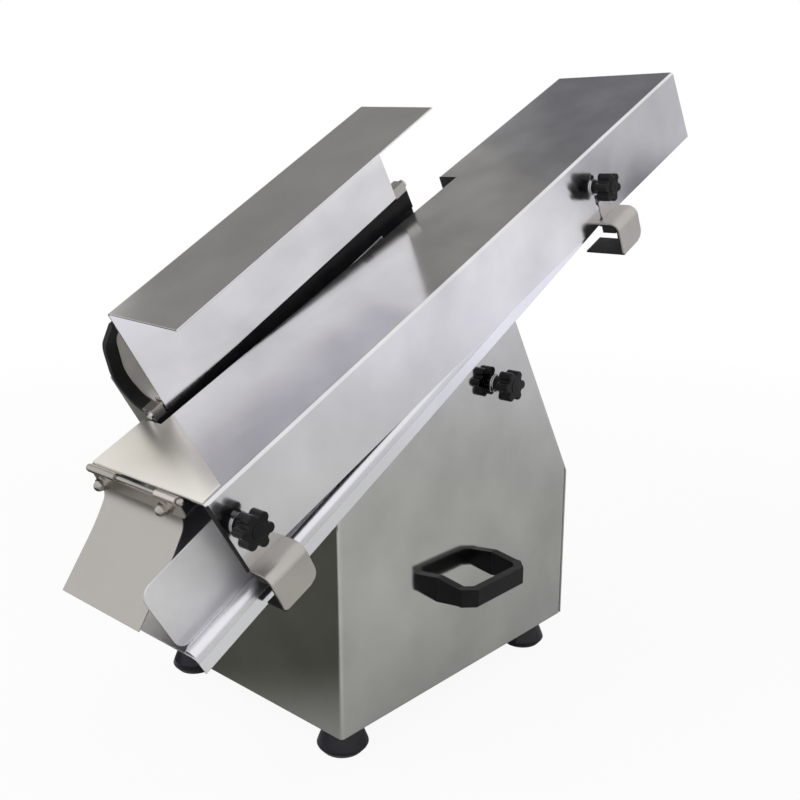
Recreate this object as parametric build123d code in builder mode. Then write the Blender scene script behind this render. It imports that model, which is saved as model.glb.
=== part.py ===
from build123d import *
import os
from math import cos, radians, sin, sqrt

# Bun slicer: a slanted tray under an adjustable hood, a round blade that reaches into the channel
# from the left, and a belt drive under a guard, on a bent sheet casing. Millimetres, +Z up.
# The origin is on the floor, below the middle of the whole machine. +Y is uphill, +X is the hood side.

# Sheet and fits
SHEET = 1.5  # stainless sheet
BEND = 3.0  # outside radius of a sheet bend
SLIP = 0.5  # gap between sheets that pass each other
CLEAR = 0.3  # gap between bodies that move past each other
FIT = 0.05  # radial clearance of a turning fit
SEAT = 0.02  # radial clearance of a fixed seat
BOLT_PLAY = 0.2  # radial play of a bolt in its hole

# Casing
CASE_WIDTH = 325.0
CASE_DEPTH = 391.0
REAR_HEIGHT = 190.0  # upright part of the back, above the casing's lower edge
CASE_BEND = 4.0
REAR_FLANGE = 18.0
BASE_THICK = 2.0
FOOT_HEIGHT = 38.0
FOOT_RADIUS = 27.5
FOOT_TOP_RADIUS = 18.0
FOOT_INSET = 35.0
FOOT_STUD_RADIUS = 4.0
FOOT_NUT_HEIGHT = 6.5

# Tray and channel
SLOPE = 30.0  # tray, degrees
TRAY_REACH = 170.0  # lower end of the tray in front of the casing
TRAY_LOW = 158.5  # lower end of the tray floor above the casing's lower edge
TRAY_LENGTH = 905.0
MARGIN = 18.0  # tray floor outside the right guide wall
CHANNEL_WIDTH = 130.5
GUIDE_HEIGHT = 42.0
LEFT_GUIDE_START = 60.0
TONGUE_HEIGHT = 75.0
TONGUE_LENGTH = 140.0
TONGUE_ROUND = 13.0
FLANGE_DROP = 20.0
FLANGE_LENGTH = 890.0
FLANGE_ROUND = 5.0

# Hood
HOOD_SLOPE = 26.75
HOOD_START = 80.0  # hood's lower end, along the tray
HOOD_RISE = 108.0  # hood's top above the tray floor at its lower end
HOOD_LENGTH = 836.0
HOOD_WALL_LOW = 84.0  # depth of the right wall at its lower end
HOOD_WALL_HIGH = 93.0
WALL_LEAN_LOW = 5.0  # the wall's end edges lean uphill
WALL_LEAN_HIGH = 12.0
HOOD_LEFT_WALL = 60.0
HOOD_WIDE = 168.0  # hood's left edge, from the casing's right face
NOTCH_DEPTH = 28.0
NOTCH_START = 66.5
NOTCH_END = 555.0
SLOT_WIDTH = 7.0
SLOT_ABOVE = 15.0
LOWER_SLOT_BELOW = 24.0
UPPER_SLOT_BELOW = 48.0
TAB_LENGTH = 45.0
TAB_OUT = 30.0
TAB_DROP = 34.0
TAB_SHEET = 2.0
TAB_ROUND = 11.0
LOWER_TAB_START = 6.0
UPPER_TAB_START = 613.0
PAD_THICK = 12.0
PAD_INSET = 2.0

# Clamp studs and star knobs
STUD_RADIUS = 3.0
STUD_HEAD_RADIUS = 6.0
STUD_HEAD = 2.5
STUD_COLLAR_RADIUS = 5.0
LOWER_STUD = (97.0, 68.0)  # along the tray, above its floor
UPPER_STUD = (696.0, 29.0)
WASHER_RADIUS = 10.0
WASHER_THICK = 1.5
KNOB_CORE = 12.5
KNOB_LOBE = 5.0
KNOB_LOBES = 6
KNOB_HEAD = 15.0
KNOB_NECK = 9.0
KNOB_NECK_RADIUS = 8.0
KNOB_BORE = 18.0
KNOB_EDGE = 1.6

# Exit flap and its hinge
HINGE_AHEAD = 5.0  # hinge axis in front of the hood's lower end
HINGE_BELOW = 1.0
KNUCKLE_RADIUS = 4.0
PIN_RADIUS = 2.0
PIN_BALL_RADIUS = 3.5
FLAP_LEFT = 163.0  # flap's left edge, from the casing's right face
FLAP_WIDTH = 123.0
FLAP_SHEET = 1.2
HOOD_LEAF_WIDTH = 43.0
HOOD_LEAF_LENGTH = 24.0
STRIP_LENGTH = 135.0
STRIP_HEIGHT = 16.0
FLAP_KNUCKLE = 30.0
STRIP_LEAN = 26.0  # strip leans in under the hood, degrees from plumb
FLAP_TOP = 7.0
FLAP_ROOT = 31.0
FLAP_MIDDLE = 31.0
FLAP_MIDDLE_LEAN = -28.0
FLAP_END = 66.0
FLAP_END_LEAN = -35.0
FLAP_ROOT_ROUND = 18.0
FLAP_END_ROUND = 220.0
FLAP_BOLT_DROP = 13.0
FLAP_BOLT_RADIUS = 2.0
FLAP_BOLT_EDGE = 13.0
DOME_RADIUS = 6.5
DOME_HEIGHT = 11.0
DOME_WASHER = 8.0
DOME_WASHER_THICK = 1.4

# Blade housing, guards and their rail
HOUSING_START = 203.0
HOUSING_TOP = 80.0
HOUSING_GAP = 1.0
RAIL_START = 150.0
RAIL_END = 562.0
RAIL_WIDTH = 15.0
RAIL_HEIGHT = 22.0
GUARD_START = 165.0
GUARD_END = 541.0
GUARD_LIFT = 2.5  # lower edge of the guard wall above the rail
GUARD_WALL = 115.0
GUARD_LIP = 102.0
GUARD_DROOP = 4.0
EAR_WIDTH = 10.5
EAR_HEIGHT = 12.0
PIVOT_IN = 5.0
PIVOT_LIFT = 7.5
PIVOT_RADIUS = 2.5
BLOCK_GAP = 1.5
BLOCK_HEIGHT = 12.0
REAR_GUARD_DROP = 12.0  # upper edge below the front guard's fold
REAR_GUARD_SHOULDER = (30.0, 44.0)  # beside the rail, below the fold
REAR_GUARD_BULGE = (56.0, 46.0)  # beside the rail, above the housing
REAR_GUARD_BELLY = (40.0, 12.0)
REAR_GUARD_FLOOR = 9.0
REAR_GUARD_ROUNDS = (60.0, 35.0, 25.0)
REAR_GUARD_END = 532.0
TRIM_WIDTH = 14.0
TRIM_THICK = 1.6
TRIM_PLAY = 0.1
TRIM_LAP = 2.0

# Blade and spindle, heights above the tray floor
BLADE_RADIUS = 110.0
BLADE_THICK = 2.0
BLADE_BEVEL = 8.0
BLADE_HEIGHT = 30.0
BLADE_ALONG = 320.0
SPINDLE_IN = 32.0  # spindle axis behind the left guide wall
SPINDLE_RADIUS = 10.0
SPINDLE_END_RADIUS = 8.0
SPINDLE_COLLAR_RADIUS = 13.0
BLADE_SLOT = 12.0  # height of the slot that the blade passes through
FLANGE_RADIUS = 30.0
FLANGE_THICK = 5.0
CLAMP_THICK = 3.0
NUT_ACROSS = 24.0
NUT_HEIGHT = 8.0
BEARING_RADIUS = 21.0
BEARING_WIDTH = 12.0
BEARING_GAP = 8.0
BEARING_WALL = 6.0
LOWER_BEARING = 42.0
BEARING_FLANGE_RADIUS = 42.0
BEARING_FLANGE = 6.0
BEARING_BOLT_CIRCLE = 35.0
BEARING_BOLT_RADIUS = 2.5
PULLEY_LOW = 112.0
PULLEY_WIDTH = 18.0
PULLEY_RIM = 3.5
PULLEY_RIM_WIDTH = 3.0
SPINDLE_PULLEY_RADIUS = 24.0
MOTOR_PULLEY_RADIUS = 20.0
BELT_THICK = 3.0
BELT_PLAY = 0.15

# Motor, its mount and the knob on the casing side
MOTOR_INSET = 52.0  # motor axis in from the upper end of the deck
MOTOR_RADIUS = 43.0
MOTOR_LENGTH = 140.0
MOTOR_FLANGE = 96.0
MOTOR_FLANGE_THICK = 6.0
MOTOR_BOLT_SPACING = 76.0
MOTOR_BOLT_RADIUS = 3.0
MOTOR_FINS = 12
MOTOR_SHAFT_RADIUS = 7.0
SHAFT_IN_MOTOR = 40.0
MOUNT_THICK = 4.0
MOUNT_LEFT = 53.0
ARM_INSET = 30.0
ARM_WIDTH = 44.0
ARM_DROP = 85.0
SIDE_STUD_INSET = 8.0  # stud of the casing's knob, below the motor axis along the tray
SIDE_STUD_DROP = 62.0
SIDE_SLOT_LENGTH = 25.0

# Carry handles
HANDLE_BACK = 198.0  # middle of the handle behind the casing's front
HANDLE_UP = 114.0
HANDLE_SPAN = 96.0
HANDLE_REACH = 47.0
HANDLE_BAR = 10.0
HANDLE_CORNER = 13.0
GRIP_HEIGHT = 20.0
HANDLE_FOOT_HEIGHT = 28.0
HANDLE_EDGE = 2.0
HANDLE_TAPER = 0.6  # share of the reach over which a foot flares
HANDLE_SCREW_RADIUS = 2.5
HANDLE_SCREW_DEPTH = 18.0

# Switch and cable gland
SWITCH_BACK = 95.0
SWITCH_UP = 150.0
SWITCH_HEIGHT = 26.0
SWITCH_WIDTH = 19.0
SWITCH_BEZEL = 2.5
SWITCH_BEZEL_THICK = 2.0
SWITCH_DEPTH = 22.0
ROCKER_LENGTH = 19.0
ROCKER_WIDTH = 14.0
ROCKER_DEPTH = 4.0
ROCKER_TILT = 8.0
ROCKER_PIN_RADIUS = 1.5
ROCKER_PIN_DEPTH = 1.0
POCKET_DEPTH = 9.0
GLAND_X = -90.0
GLAND_UP = 35.0
GLAND_BORE = 4.5
GLAND_THREAD = 8.0
GLAND_HEX = 22.0
GLAND_NUT_HEIGHT = 5.0
GLAND_DOME = 20.0

# Rear panel fixings and vents
SCREW_RADIUS = 2.0
SCREW_HEAD_RADIUS = 4.0
SCREW_HEAD = 2.5
SCREW_LENGTH = 9.0
SCREW_LOW = 25.0
SCREW_HIGH = 165.0
VENT_LENGTH = 90.0
VENT_WIDTH = 4.0
VENT_PITCH = 12.0
VENT_COUNT = 6
VENT_UP = 100.0

# Places that follow from the sizes
slope = radians(SLOPE)
hood_slope = radians(HOOD_SLOPE)
right_x = CASE_WIDTH / 2
base_z = FOOT_HEIGHT
hood_low_y = HOOD_START * cos(slope) - HOOD_RISE * sin(slope)
hood_reach = HOOD_LENGTH + WALL_LEAN_HIGH
hood_high_y = hood_low_y + hood_reach * cos(hood_slope) + HOOD_WALL_HIGH * sin(hood_slope)
tongue_tip_y = TONGUE_ROUND * cos(slope) - (TONGUE_HEIGHT - TONGUE_ROUND) * sin(slope) - TONGUE_ROUND
chute_y = -(hood_high_y + tongue_tip_y) / 2
chute_z = base_z + TRAY_LOW
front_y = chute_y + TRAY_REACH
rear_y = front_y + CASE_DEPTH
middle_y = (front_y + rear_y) / 2

# The tray floor's plane: x across, y along the tray, z above its floor. The hood's plane is its top.
chute = Plane(origin=(0, chute_y, chute_z), x_dir=(1, 0, 0), z_dir=(0, -sin(slope), cos(slope)))
hood_corner = chute.from_local_coords((0, HOOD_START, HOOD_RISE))
hood_top = Plane(origin=hood_corner, x_dir=(1, 0, 0), z_dir=(0, -sin(hood_slope), cos(hood_slope)))


def across(base, along):
    """Plane square to a slanted base: x across, y above the base, extruding downhill."""
    return Plane(base.from_local_coords((0, along, 0)), x_dir=base.x_dir, z_dir=-base.y_dir)


def beside(base, x):
    """Plane parallel to the side of a slanted base: x along it, y above it, extruding to +X."""
    return Plane(base.from_local_coords((x, 0, 0)), x_dir=base.y_dir, z_dir=base.x_dir)


def upright(x):
    """Plane parallel to the casing's sides: x is the machine's Y, y its Z, extruding to +X."""
    return Plane((x, 0, 0), x_dir=(0, 1, 0), z_dir=(1, 0, 0))


def facing_right(x, y, z):
    """Plane on a side wall, extruding to +X."""
    return Plane((x, y, z), x_dir=(0, 1, 0), z_dir=(1, 0, 0))


# Faces across the machine, from the right
tongue_x = right_x - MARGIN
left_guide_x = tongue_x - SHEET - CHANNEL_WIDTH
flange_x = right_x + SLIP + SHEET
hood_in_x = flange_x + SLIP
hood_x = hood_in_x + SHEET
hood_wide_x = right_x - HOOD_WIDE
housing_x = left_guide_x - SHEET - HOUSING_GAP
guard_x = left_guide_x - SHEET
rail_x = guard_x - SHEET
rail_left_x = rail_x - RAIL_WIDTH
spindle_x = left_guide_x - SPINDLE_IN
rail_top = HOUSING_TOP + RAIL_HEIGHT
deck_end = (CASE_DEPTH + TRAY_REACH) * cos(slope) + (REAR_HEIGHT - TRAY_LOW) * sin(slope)
deck_start = (TRAY_REACH + SHEET) / cos(slope) + SLIP
housing_end = deck_end - SHEET
motor_along = deck_end - MOTOR_INSET


def back_corner(inset):
    """Knee of the casing's back, moved in from the outside by an inset."""
    knee_y = rear_y - inset
    rise = (deck_end - inset - (knee_y - chute_y) * cos(slope)) / sin(slope)
    return knee_y, chute_z + rise


def on_chute(along, height):
    """Machine Y and Z of a place given along the tray and above its floor."""
    place = chute.from_local_coords((0, along, height))
    return place.Y, place.Z


chute_up = Axis(chute.origin, chute.z_dir)
front_top = ((TRAY_REACH - SHEET * sin(slope)) / cos(slope), -SHEET)

# Casing shell: front and both sides bent from one sheet, with flanges for the rear panel
handle_y = front_y + HANDLE_BACK
handle_z = base_z + HANDLE_UP
switch_y = front_y + SWITCH_BACK
switch_z = base_z + SWITCH_UP
side_stud = (motor_along - SIDE_STUD_INSET, -SIDE_STUD_DROP)
side_stud_y, side_stud_z = on_chute(*side_stud)
screw_x = right_x - REAR_FLANGE / 2
flange_y = rear_y - SHEET
with BuildPart() as casing_shell:
    with BuildSketch(Plane.XY.offset(base_z)):
        with BuildLine():
            FilletPolyline(
                (right_x - REAR_FLANGE, flange_y),
                (right_x, flange_y),
                (right_x, front_y),
                (-right_x, front_y),
                (-right_x, flange_y),
                (-right_x + REAR_FLANGE, flange_y),
                radius=CASE_BEND,
            )
            offset(amount=SHEET, side=Side.RIGHT)
        make_face()
    extrude(amount=CASE_DEPTH + REAR_HEIGHT)
    with BuildSketch(upright(-right_x)):
        with BuildLine():
            FilletPolyline(
                (front_y, base_z),
                (flange_y, base_z),
                back_corner(SHEET),
                on_chute(deck_end - SHEET, -SHEET),
                on_chute(*front_top),
                close=True,
                radius=[0, 0, BEND, 0, 0],
            )
        make_face()
    extrude(amount=CASE_WIDTH, mode=Mode.INTERSECT)
    with BuildSketch(upright(-right_x)):
        with Locations((handle_y, handle_z)):
            with GridLocations(HANDLE_SPAN, 0, 2, 1):
                Circle(HANDLE_SCREW_RADIUS + BOLT_PLAY)
    extrude(amount=CASE_WIDTH, mode=Mode.SUBTRACT)
    with BuildSketch(beside(chute, right_x - 2 * SHEET)):
        with Locations((0, -FLANGE_ROUND - SLIP)):
            Rectangle(TRAY_LENGTH, GUIDE_HEIGHT, align=(Align.MIN, Align.MIN))
    extrude(amount=3 * SHEET, mode=Mode.SUBTRACT)
    with BuildSketch(facing_right(right_x, side_stud_y, side_stud_z)):
        SlotOverall(SIDE_SLOT_LENGTH, SLOT_WIDTH, rotation=SLOPE)
    extrude(amount=-2 * SHEET, mode=Mode.SUBTRACT)
    with BuildSketch(facing_right(-right_x, switch_y, switch_z)):
        Rectangle(SWITCH_WIDTH + 2 * BOLT_PLAY, SWITCH_HEIGHT + 2 * BOLT_PLAY)
    extrude(amount=2 * SHEET, mode=Mode.SUBTRACT)
    with BuildSketch(Plane((0, rear_y, base_z), x_dir=(1, 0, 0), z_dir=(0, -1, 0))):
        with Locations((0, (SCREW_LOW + SCREW_HIGH) / 2)):
            with GridLocations(2 * screw_x, SCREW_HIGH - SCREW_LOW, 2, 2):
                Circle(SCREW_RADIUS + BOLT_PLAY)
    extrude(amount=3 * SHEET, mode=Mode.SUBTRACT)

# Rear panel: one sheet over the back and the slanted part above it, with vents and a cable hole
with BuildPart() as rear_panel:
    with BuildSketch(upright(-right_x)):
        with BuildLine():
            FilletPolyline(
                (rear_y, base_z),
                back_corner(0),
                on_chute(deck_end, -SHEET),
                radius=BEND,
            )
            offset(amount=SHEET, side=Side.LEFT)
        make_face()
    extrude(amount=CASE_WIDTH)
    with BuildSketch(Plane((0, rear_y, base_z), x_dir=(1, 0, 0), z_dir=(0, -1, 0))):
        with Locations((0, (SCREW_LOW + SCREW_HIGH) / 2)):
            with GridLocations(2 * screw_x, SCREW_HIGH - SCREW_LOW, 2, 2):
                Circle(SCREW_RADIUS + BOLT_PLAY)
        with Locations((0, VENT_UP)):
            with GridLocations(0, VENT_PITCH, 1, VENT_COUNT):
                SlotOverall(VENT_LENGTH, VENT_WIDTH)
        with Locations((GLAND_X, GLAND_UP)):
            Circle(GLAND_THREAD + BOLT_PLAY)
    extrude(amount=2 * SHEET, mode=Mode.SUBTRACT)
    with BuildSketch(beside(chute, right_x - 2 * SHEET)):
        with Locations((0, -FLANGE_ROUND - SLIP)):
            Rectangle(TRAY_LENGTH, GUIDE_HEIGHT, align=(Align.MIN, Align.MIN))
    extrude(amount=3 * SHEET, mode=Mode.SUBTRACT)

# Rear panel screws: pan heads outside, shanks through the casing's flanges
with BuildPart() as panel_screw:
    with BuildSketch(Plane.XY):
        Circle(SCREW_HEAD_RADIUS)
    extrude(amount=SCREW_HEAD)
    fillet(panel_screw.faces().sort_by(Axis.Z)[-1].edges(), SCREW_HEAD / 2)
    with BuildSketch(Plane.XY):
        Circle(SCREW_RADIUS)
    extrude(amount=-SCREW_LENGTH)
screw_middle_z = base_z + (SCREW_LOW + SCREW_HIGH) / 2
with BuildPart() as rear_panel_screws:
    with Locations(Plane((0, rear_y, screw_middle_z), x_dir=(-1, 0, 0), z_dir=(0, 1, 0))):
        with GridLocations(2 * screw_x, SCREW_HIGH - SCREW_LOW, 2, 2):
            add(panel_screw.part)

# Base plate and the feet bolted through it
foot_x = CASE_WIDTH - 2 * FOOT_INSET
foot_y = CASE_DEPTH - 2 * FOOT_INSET
base_front = front_y + SHEET + SLIP
base_back = rear_y - 2 * SHEET - SLIP
with BuildPart() as base_plate:
    with BuildSketch(Plane((0, (base_front + base_back) / 2, base_z))):
        RectangleRounded(CASE_WIDTH - 2 * SHEET - 2 * SLIP, base_back - base_front, CASE_BEND)
    extrude(amount=BASE_THICK)
    with BuildSketch(Plane((0, middle_y, base_z))):
        with GridLocations(foot_x, foot_y, 2, 2):
            Circle(FOOT_STUD_RADIUS + BOLT_PLAY)
    extrude(amount=BASE_THICK, mode=Mode.SUBTRACT)

foot_stud_top = FOOT_HEIGHT + BASE_THICK + FOOT_NUT_HEIGHT + FOOT_STUD_RADIUS
with BuildPart() as foot:
    with BuildSketch(Plane.XZ):
        with BuildLine():
            FilletPolyline(
                (0, 0),
                (FOOT_RADIUS, 0),
                (FOOT_RADIUS, FOOT_HEIGHT / 4),
                (FOOT_TOP_RADIUS, FOOT_HEIGHT * 0.8),
                (FOOT_TOP_RADIUS, FOOT_HEIGHT),
                (FOOT_STUD_RADIUS, FOOT_HEIGHT),
                (FOOT_STUD_RADIUS, foot_stud_top),
                (0, foot_stud_top),
                close=True,
                radius=[0, FOOT_HEIGHT / 8, FOOT_HEIGHT / 8, FOOT_HEIGHT / 8, 0, 0, 0, 0],
            )
        make_face()
    revolve(axis=Axis.Z)
with BuildPart() as feet:
    with Locations((0, middle_y, 0)):
        with GridLocations(foot_x, foot_y, 2, 2):
            add(foot.part)
with BuildPart() as foot_nuts:
    with BuildSketch(Plane((0, middle_y, base_z + BASE_THICK))):
        with GridLocations(foot_x, foot_y, 2, 2):
            RegularPolygon(FOOT_STUD_RADIUS * 1.65, 6, major_radius=False)
            Circle(FOOT_STUD_RADIUS + SEAT, mode=Mode.SUBTRACT)
    extrude(amount=FOOT_NUT_HEIGHT)

# Deck plate: closes the casing's top under the tray and the blade housing
deck_top = -SHEET
deck_width = CASE_WIDTH - SHEET - 2 * SLIP - FLANGE_ROUND + flange_x - right_x
with BuildPart() as deck_plate:
    with BuildSketch(chute.offset(deck_top)):
        with Locations((SHEET + SLIP - right_x, deck_start)):
            Rectangle(deck_width, housing_end - SLIP - deck_start, align=(Align.MIN, Align.MIN))
        with Locations((spindle_x, motor_along)):
            Circle(2 * MOTOR_SHAFT_RADIUS, mode=Mode.SUBTRACT)
    extrude(amount=-SHEET)
deck_bottom = deck_top - SHEET


def carry_handle(side):
    """Bridge handle with chamfered corners and flared feet, on the side given as 1 or -1."""
    seat = (side * right_x, handle_y, handle_z)
    half = (HANDLE_SPAN + HANDLE_BAR) / 2
    gap = half - HANDLE_BAR
    inside = HANDLE_REACH - HANDLE_BAR
    corner = HANDLE_CORNER - HANDLE_BAR * (2 - sqrt(2))
    taper = HANDLE_REACH * HANDLE_TAPER
    with BuildPart() as handle:
        with BuildSketch(Plane(seat, x_dir=(side, 0, 0), z_dir=(0, 0, 1))):
            with BuildLine():
                Polyline(
                    (0, -half),
                    (HANDLE_REACH - HANDLE_CORNER, -half),
                    (HANDLE_REACH, HANDLE_CORNER - half),
                    (HANDLE_REACH, half - HANDLE_CORNER),
                    (HANDLE_REACH - HANDLE_CORNER, half),
                    (0, half),
                    (0, gap),
                    (inside - corner, gap),
                    (inside, gap - corner),
                    (inside, corner - gap),
                    (inside - corner, -gap),
                    (0, -gap),
                    close=True,
                )
            make_face()
        extrude(amount=HANDLE_FOOT_HEIGHT / 2, both=True)
        with BuildSketch(Plane(seat, x_dir=(side, 0, 0), z_dir=(0, -side, 0))):
            with BuildLine():
                FilletPolyline(
                    (0, -HANDLE_FOOT_HEIGHT / 2),
                    (taper, -GRIP_HEIGHT / 2),
                    (HANDLE_REACH, -GRIP_HEIGHT / 2),
                    (HANDLE_REACH, GRIP_HEIGHT / 2),
                    (taper, GRIP_HEIGHT / 2),
                    (0, HANDLE_FOOT_HEIGHT / 2),
                    close=True,
                    radius=[0, taper / 2, HANDLE_EDGE, HANDLE_EDGE, taper / 2, 0],
                )
            make_face()
        extrude(amount=half, both=True, mode=Mode.INTERSECT)
        with BuildSketch(Plane(seat, x_dir=(0, side, 0), z_dir=(side, 0, 0))):
            with GridLocations(HANDLE_SPAN, 0, 2, 1):
                Circle(HANDLE_SCREW_RADIUS + SEAT)
        extrude(amount=HANDLE_SCREW_DEPTH, mode=Mode.SUBTRACT)
    return handle


carry_handle_right = carry_handle(1)
carry_handle_left = carry_handle(-1)

# Handle screws: heads inside the casing, shanks in the handles' feet
screw_reach = HANDLE_SCREW_DEPTH - 2 * SHEET
with BuildPart() as handle_screws:
    for side in (1, -1):
        inner = Plane((side * (right_x - SHEET), handle_y, handle_z), x_dir=(0, side, 0), z_dir=(side, 0, 0))
        with BuildSketch(inner):
            with GridLocations(HANDLE_SPAN, 0, 2, 1):
                Circle(HANDLE_SCREW_RADIUS)
        extrude(amount=SHEET + screw_reach)
        with BuildSketch(inner):
            with GridLocations(HANDLE_SPAN, 0, 2, 1):
                Circle(2 * HANDLE_SCREW_RADIUS)
        extrude(amount=-HANDLE_SCREW_RADIUS)

# Tray: left guide wall, floor and right flange bent from one sheet
slot_half = sqrt(BLADE_RADIUS**2 - SPINDLE_IN**2) + BLADE_SLOT
with BuildPart() as tray:
    with BuildSketch(across(chute, TRAY_LENGTH)):
        with BuildLine():
            FilletPolyline(
                (left_guide_x, GUIDE_HEIGHT),
                (left_guide_x, 0),
                (flange_x, 0),
                (flange_x, -FLANGE_DROP),
                radius=[BEND - SHEET, FLANGE_ROUND],
            )
            offset(amount=SHEET, side=Side.RIGHT)
        make_face()
    extrude(amount=TRAY_LENGTH)
    with BuildSketch(beside(chute, left_guide_x - 2 * SHEET)):
        with Locations((0, BEND)):
            Rectangle(LEFT_GUIDE_START, GUIDE_HEIGHT, align=(Align.MIN, Align.MIN))
        with Locations((BLADE_ALONG, BLADE_HEIGHT)):
            SlotOverall(2 * slot_half, BLADE_SLOT)
    extrude(amount=3 * SHEET, mode=Mode.SUBTRACT)
    with BuildSketch(beside(chute, right_x - 2 * SHEET)):
        with Locations((FLANGE_LENGTH, 0)):
            Rectangle(TRAY_LENGTH, 3 * FLANGE_DROP, align=(Align.MIN, Align.CENTER))
    extrude(amount=2 * FLANGE_ROUND, mode=Mode.SUBTRACT)

# Right guide wall: a tall rounded tongue at the exit, lower along the rest, drilled for the studs
with BuildPart() as guide_wall_right:
    with BuildSketch(beside(chute, tongue_x - SHEET)):
        with BuildLine():
            FilletPolyline(
                (TRAY_LENGTH, 0),
                (TRAY_LENGTH, GUIDE_HEIGHT),
                (TONGUE_LENGTH, GUIDE_HEIGHT),
                (TONGUE_LENGTH, TONGUE_HEIGHT),
                (0, TONGUE_HEIGHT),
                (0, 0),
                close=True,
                radius=[0, TONGUE_ROUND, TONGUE_ROUND / 2, TONGUE_ROUND, TONGUE_ROUND, TONGUE_ROUND],
            )
        make_face()
        with Locations(LOWER_STUD, UPPER_STUD):
            Circle(STUD_RADIUS + BOLT_PLAY, mode=Mode.SUBTRACT)
    extrude(amount=SHEET)

# Hood: three lengths of bent sheet joined flush, the middle one narrowed beside the guard
wall_outline = (
    (0, SHEET),
    (0, 0),
    (WALL_LEAN_LOW, -HOOD_WALL_LOW),
    (hood_reach, -HOOD_WALL_HIGH),
    (HOOD_LENGTH, 0),
    (HOOD_LENGTH, SHEET),
)
hood_slots = ((LOWER_STUD, LOWER_SLOT_BELOW), (UPPER_STUD, UPPER_SLOT_BELOW))
with BuildPart() as hood_sheet:
    with BuildSketch(across(hood_top, hood_reach)):
        with BuildLine():
            FilletPolyline(
                (hood_wide_x, -HOOD_LEFT_WALL),
                (hood_wide_x, 0),
                (hood_x, 0),
                (hood_x, -HOOD_WALL_HIGH),
                radius=BEND,
            )
            offset(amount=SHEET, side=Side.RIGHT)
        make_face()
    extrude(amount=hood_reach)
    with BuildSketch(beside(hood_top, hood_wide_x - SHEET)):
        with BuildLine():
            Polyline(*wall_outline, close=True)
        make_face()
    extrude(amount=hood_x - hood_wide_x + 2 * SHEET, mode=Mode.INTERSECT)
    with BuildSketch(hood_top.offset(SHEET)):
        with Locations((hood_wide_x - SHEET, NOTCH_START)):
            Rectangle(NOTCH_DEPTH + SHEET, NOTCH_END - NOTCH_START, align=(Align.MIN, Align.MIN))
    extrude(amount=-2 * HOOD_LEFT_WALL, mode=Mode.SUBTRACT)
    with BuildSketch(beside(hood_top, hood_in_x - SHEET)):
        for slot_stud, slot_below in hood_slots:
            spot = hood_top.to_local_coords(chute.from_local_coords((0, *slot_stud)))
            with Locations((spot.Y, spot.Z + (SLOT_ABOVE - slot_below) / 2)):
                SlotOverall(SLOT_ABOVE + slot_below, SLOT_WIDTH, rotation=90)
    extrude(amount=3 * SHEET, mode=Mode.SUBTRACT)
with BuildPart() as hood_end:
    add(hood_sheet.part)
    split(bisect_by=across(hood_top, NOTCH_START), keep=Keep.TOP)
with BuildPart() as hood:
    add(hood_sheet.part)
    split(bisect_by=across(hood_top, NOTCH_START), keep=Keep.BOTTOM)
    split(bisect_by=across(hood_top, NOTCH_END), keep=Keep.TOP)
with BuildPart() as hood_head:
    add(hood_sheet.part)
    split(bisect_by=across(hood_top, NOTCH_END), keep=Keep.BOTTOM)


def wall_edge(along):
    """Place of the right wall's lower edge below the hood's top, at a place along the hood."""
    share = (along - WALL_LEAN_LOW) / (hood_reach - WALL_LEAN_LOW)
    return -HOOD_WALL_LOW - share * (HOOD_WALL_HIGH - HOOD_WALL_LOW)


def lift_tab(start):
    """Tab turned out from the lower edge of the hood's wall and down again, from a place along the hood."""
    tab_top = wall_edge(start) + TAB_SHEET
    with BuildPart() as tab:
        with BuildSketch(across(hood_top, start + TAB_LENGTH)):
            with BuildLine():
                FilletPolyline(
                    (hood_x, tab_top),
                    (hood_x + TAB_OUT, tab_top),
                    (hood_x + TAB_OUT, tab_top - TAB_DROP),
                    radius=TAB_ROUND,
                )
                offset(amount=TAB_SHEET, side=Side.RIGHT)
            make_face()
        extrude(amount=TAB_LENGTH)
    return tab


tab_lower = lift_tab(LOWER_TAB_START)
tab_upper = lift_tab(UPPER_TAB_START)

# Black finger pads under the tabs
pad_width = TAB_OUT - TAB_ROUND - PAD_INSET
with BuildPart() as tab_pads:
    for start in (LOWER_TAB_START, UPPER_TAB_START):
        with BuildSketch(across(hood_top, start + TAB_LENGTH - PAD_INSET)):
            with Locations((hood_x + PAD_INSET, wall_edge(start))):
                Rectangle(pad_width, PAD_THICK, align=(Align.MIN, Align.MAX))
        extrude(amount=TAB_LENGTH - 2 * PAD_INSET)


def clamp_stud(base_x, along, height, reach):
    """Stud from a wall's inner face at base_x, with a round head, a spacing collar and a plain end."""
    y, z = on_chute(along, height)
    with BuildPart() as stud:
        with BuildSketch(facing_right(base_x, y, z)):
            Circle(STUD_RADIUS)
        extrude(amount=reach)
        with BuildSketch(facing_right(base_x, y, z)):
            Circle(STUD_HEAD_RADIUS)
        extrude(amount=-STUD_HEAD)
    return stud


# Studs of the hood clamp, with collars that the hood's wall is clamped against
hood_knob_x = hood_x + CLEAR + WASHER_THICK + CLEAR
stud_reach = KNOB_BORE - STUD_RADIUS
wall_in_x = tongue_x - SHEET
stud_length = hood_knob_x + stud_reach - wall_in_x
lower_stud = clamp_stud(wall_in_x, *LOWER_STUD, stud_length)
upper_stud = clamp_stud(wall_in_x, *UPPER_STUD, stud_length)
with BuildPart() as clamp_studs:
    add(lower_stud.part)
    add(upper_stud.part)
    for stud_place in (LOWER_STUD, UPPER_STUD):
        with BuildSketch(facing_right(tongue_x, *on_chute(*stud_place))):
            Circle(STUD_COLLAR_RADIUS)
        extrude(amount=hood_in_x - CLEAR - tongue_x)

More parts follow.
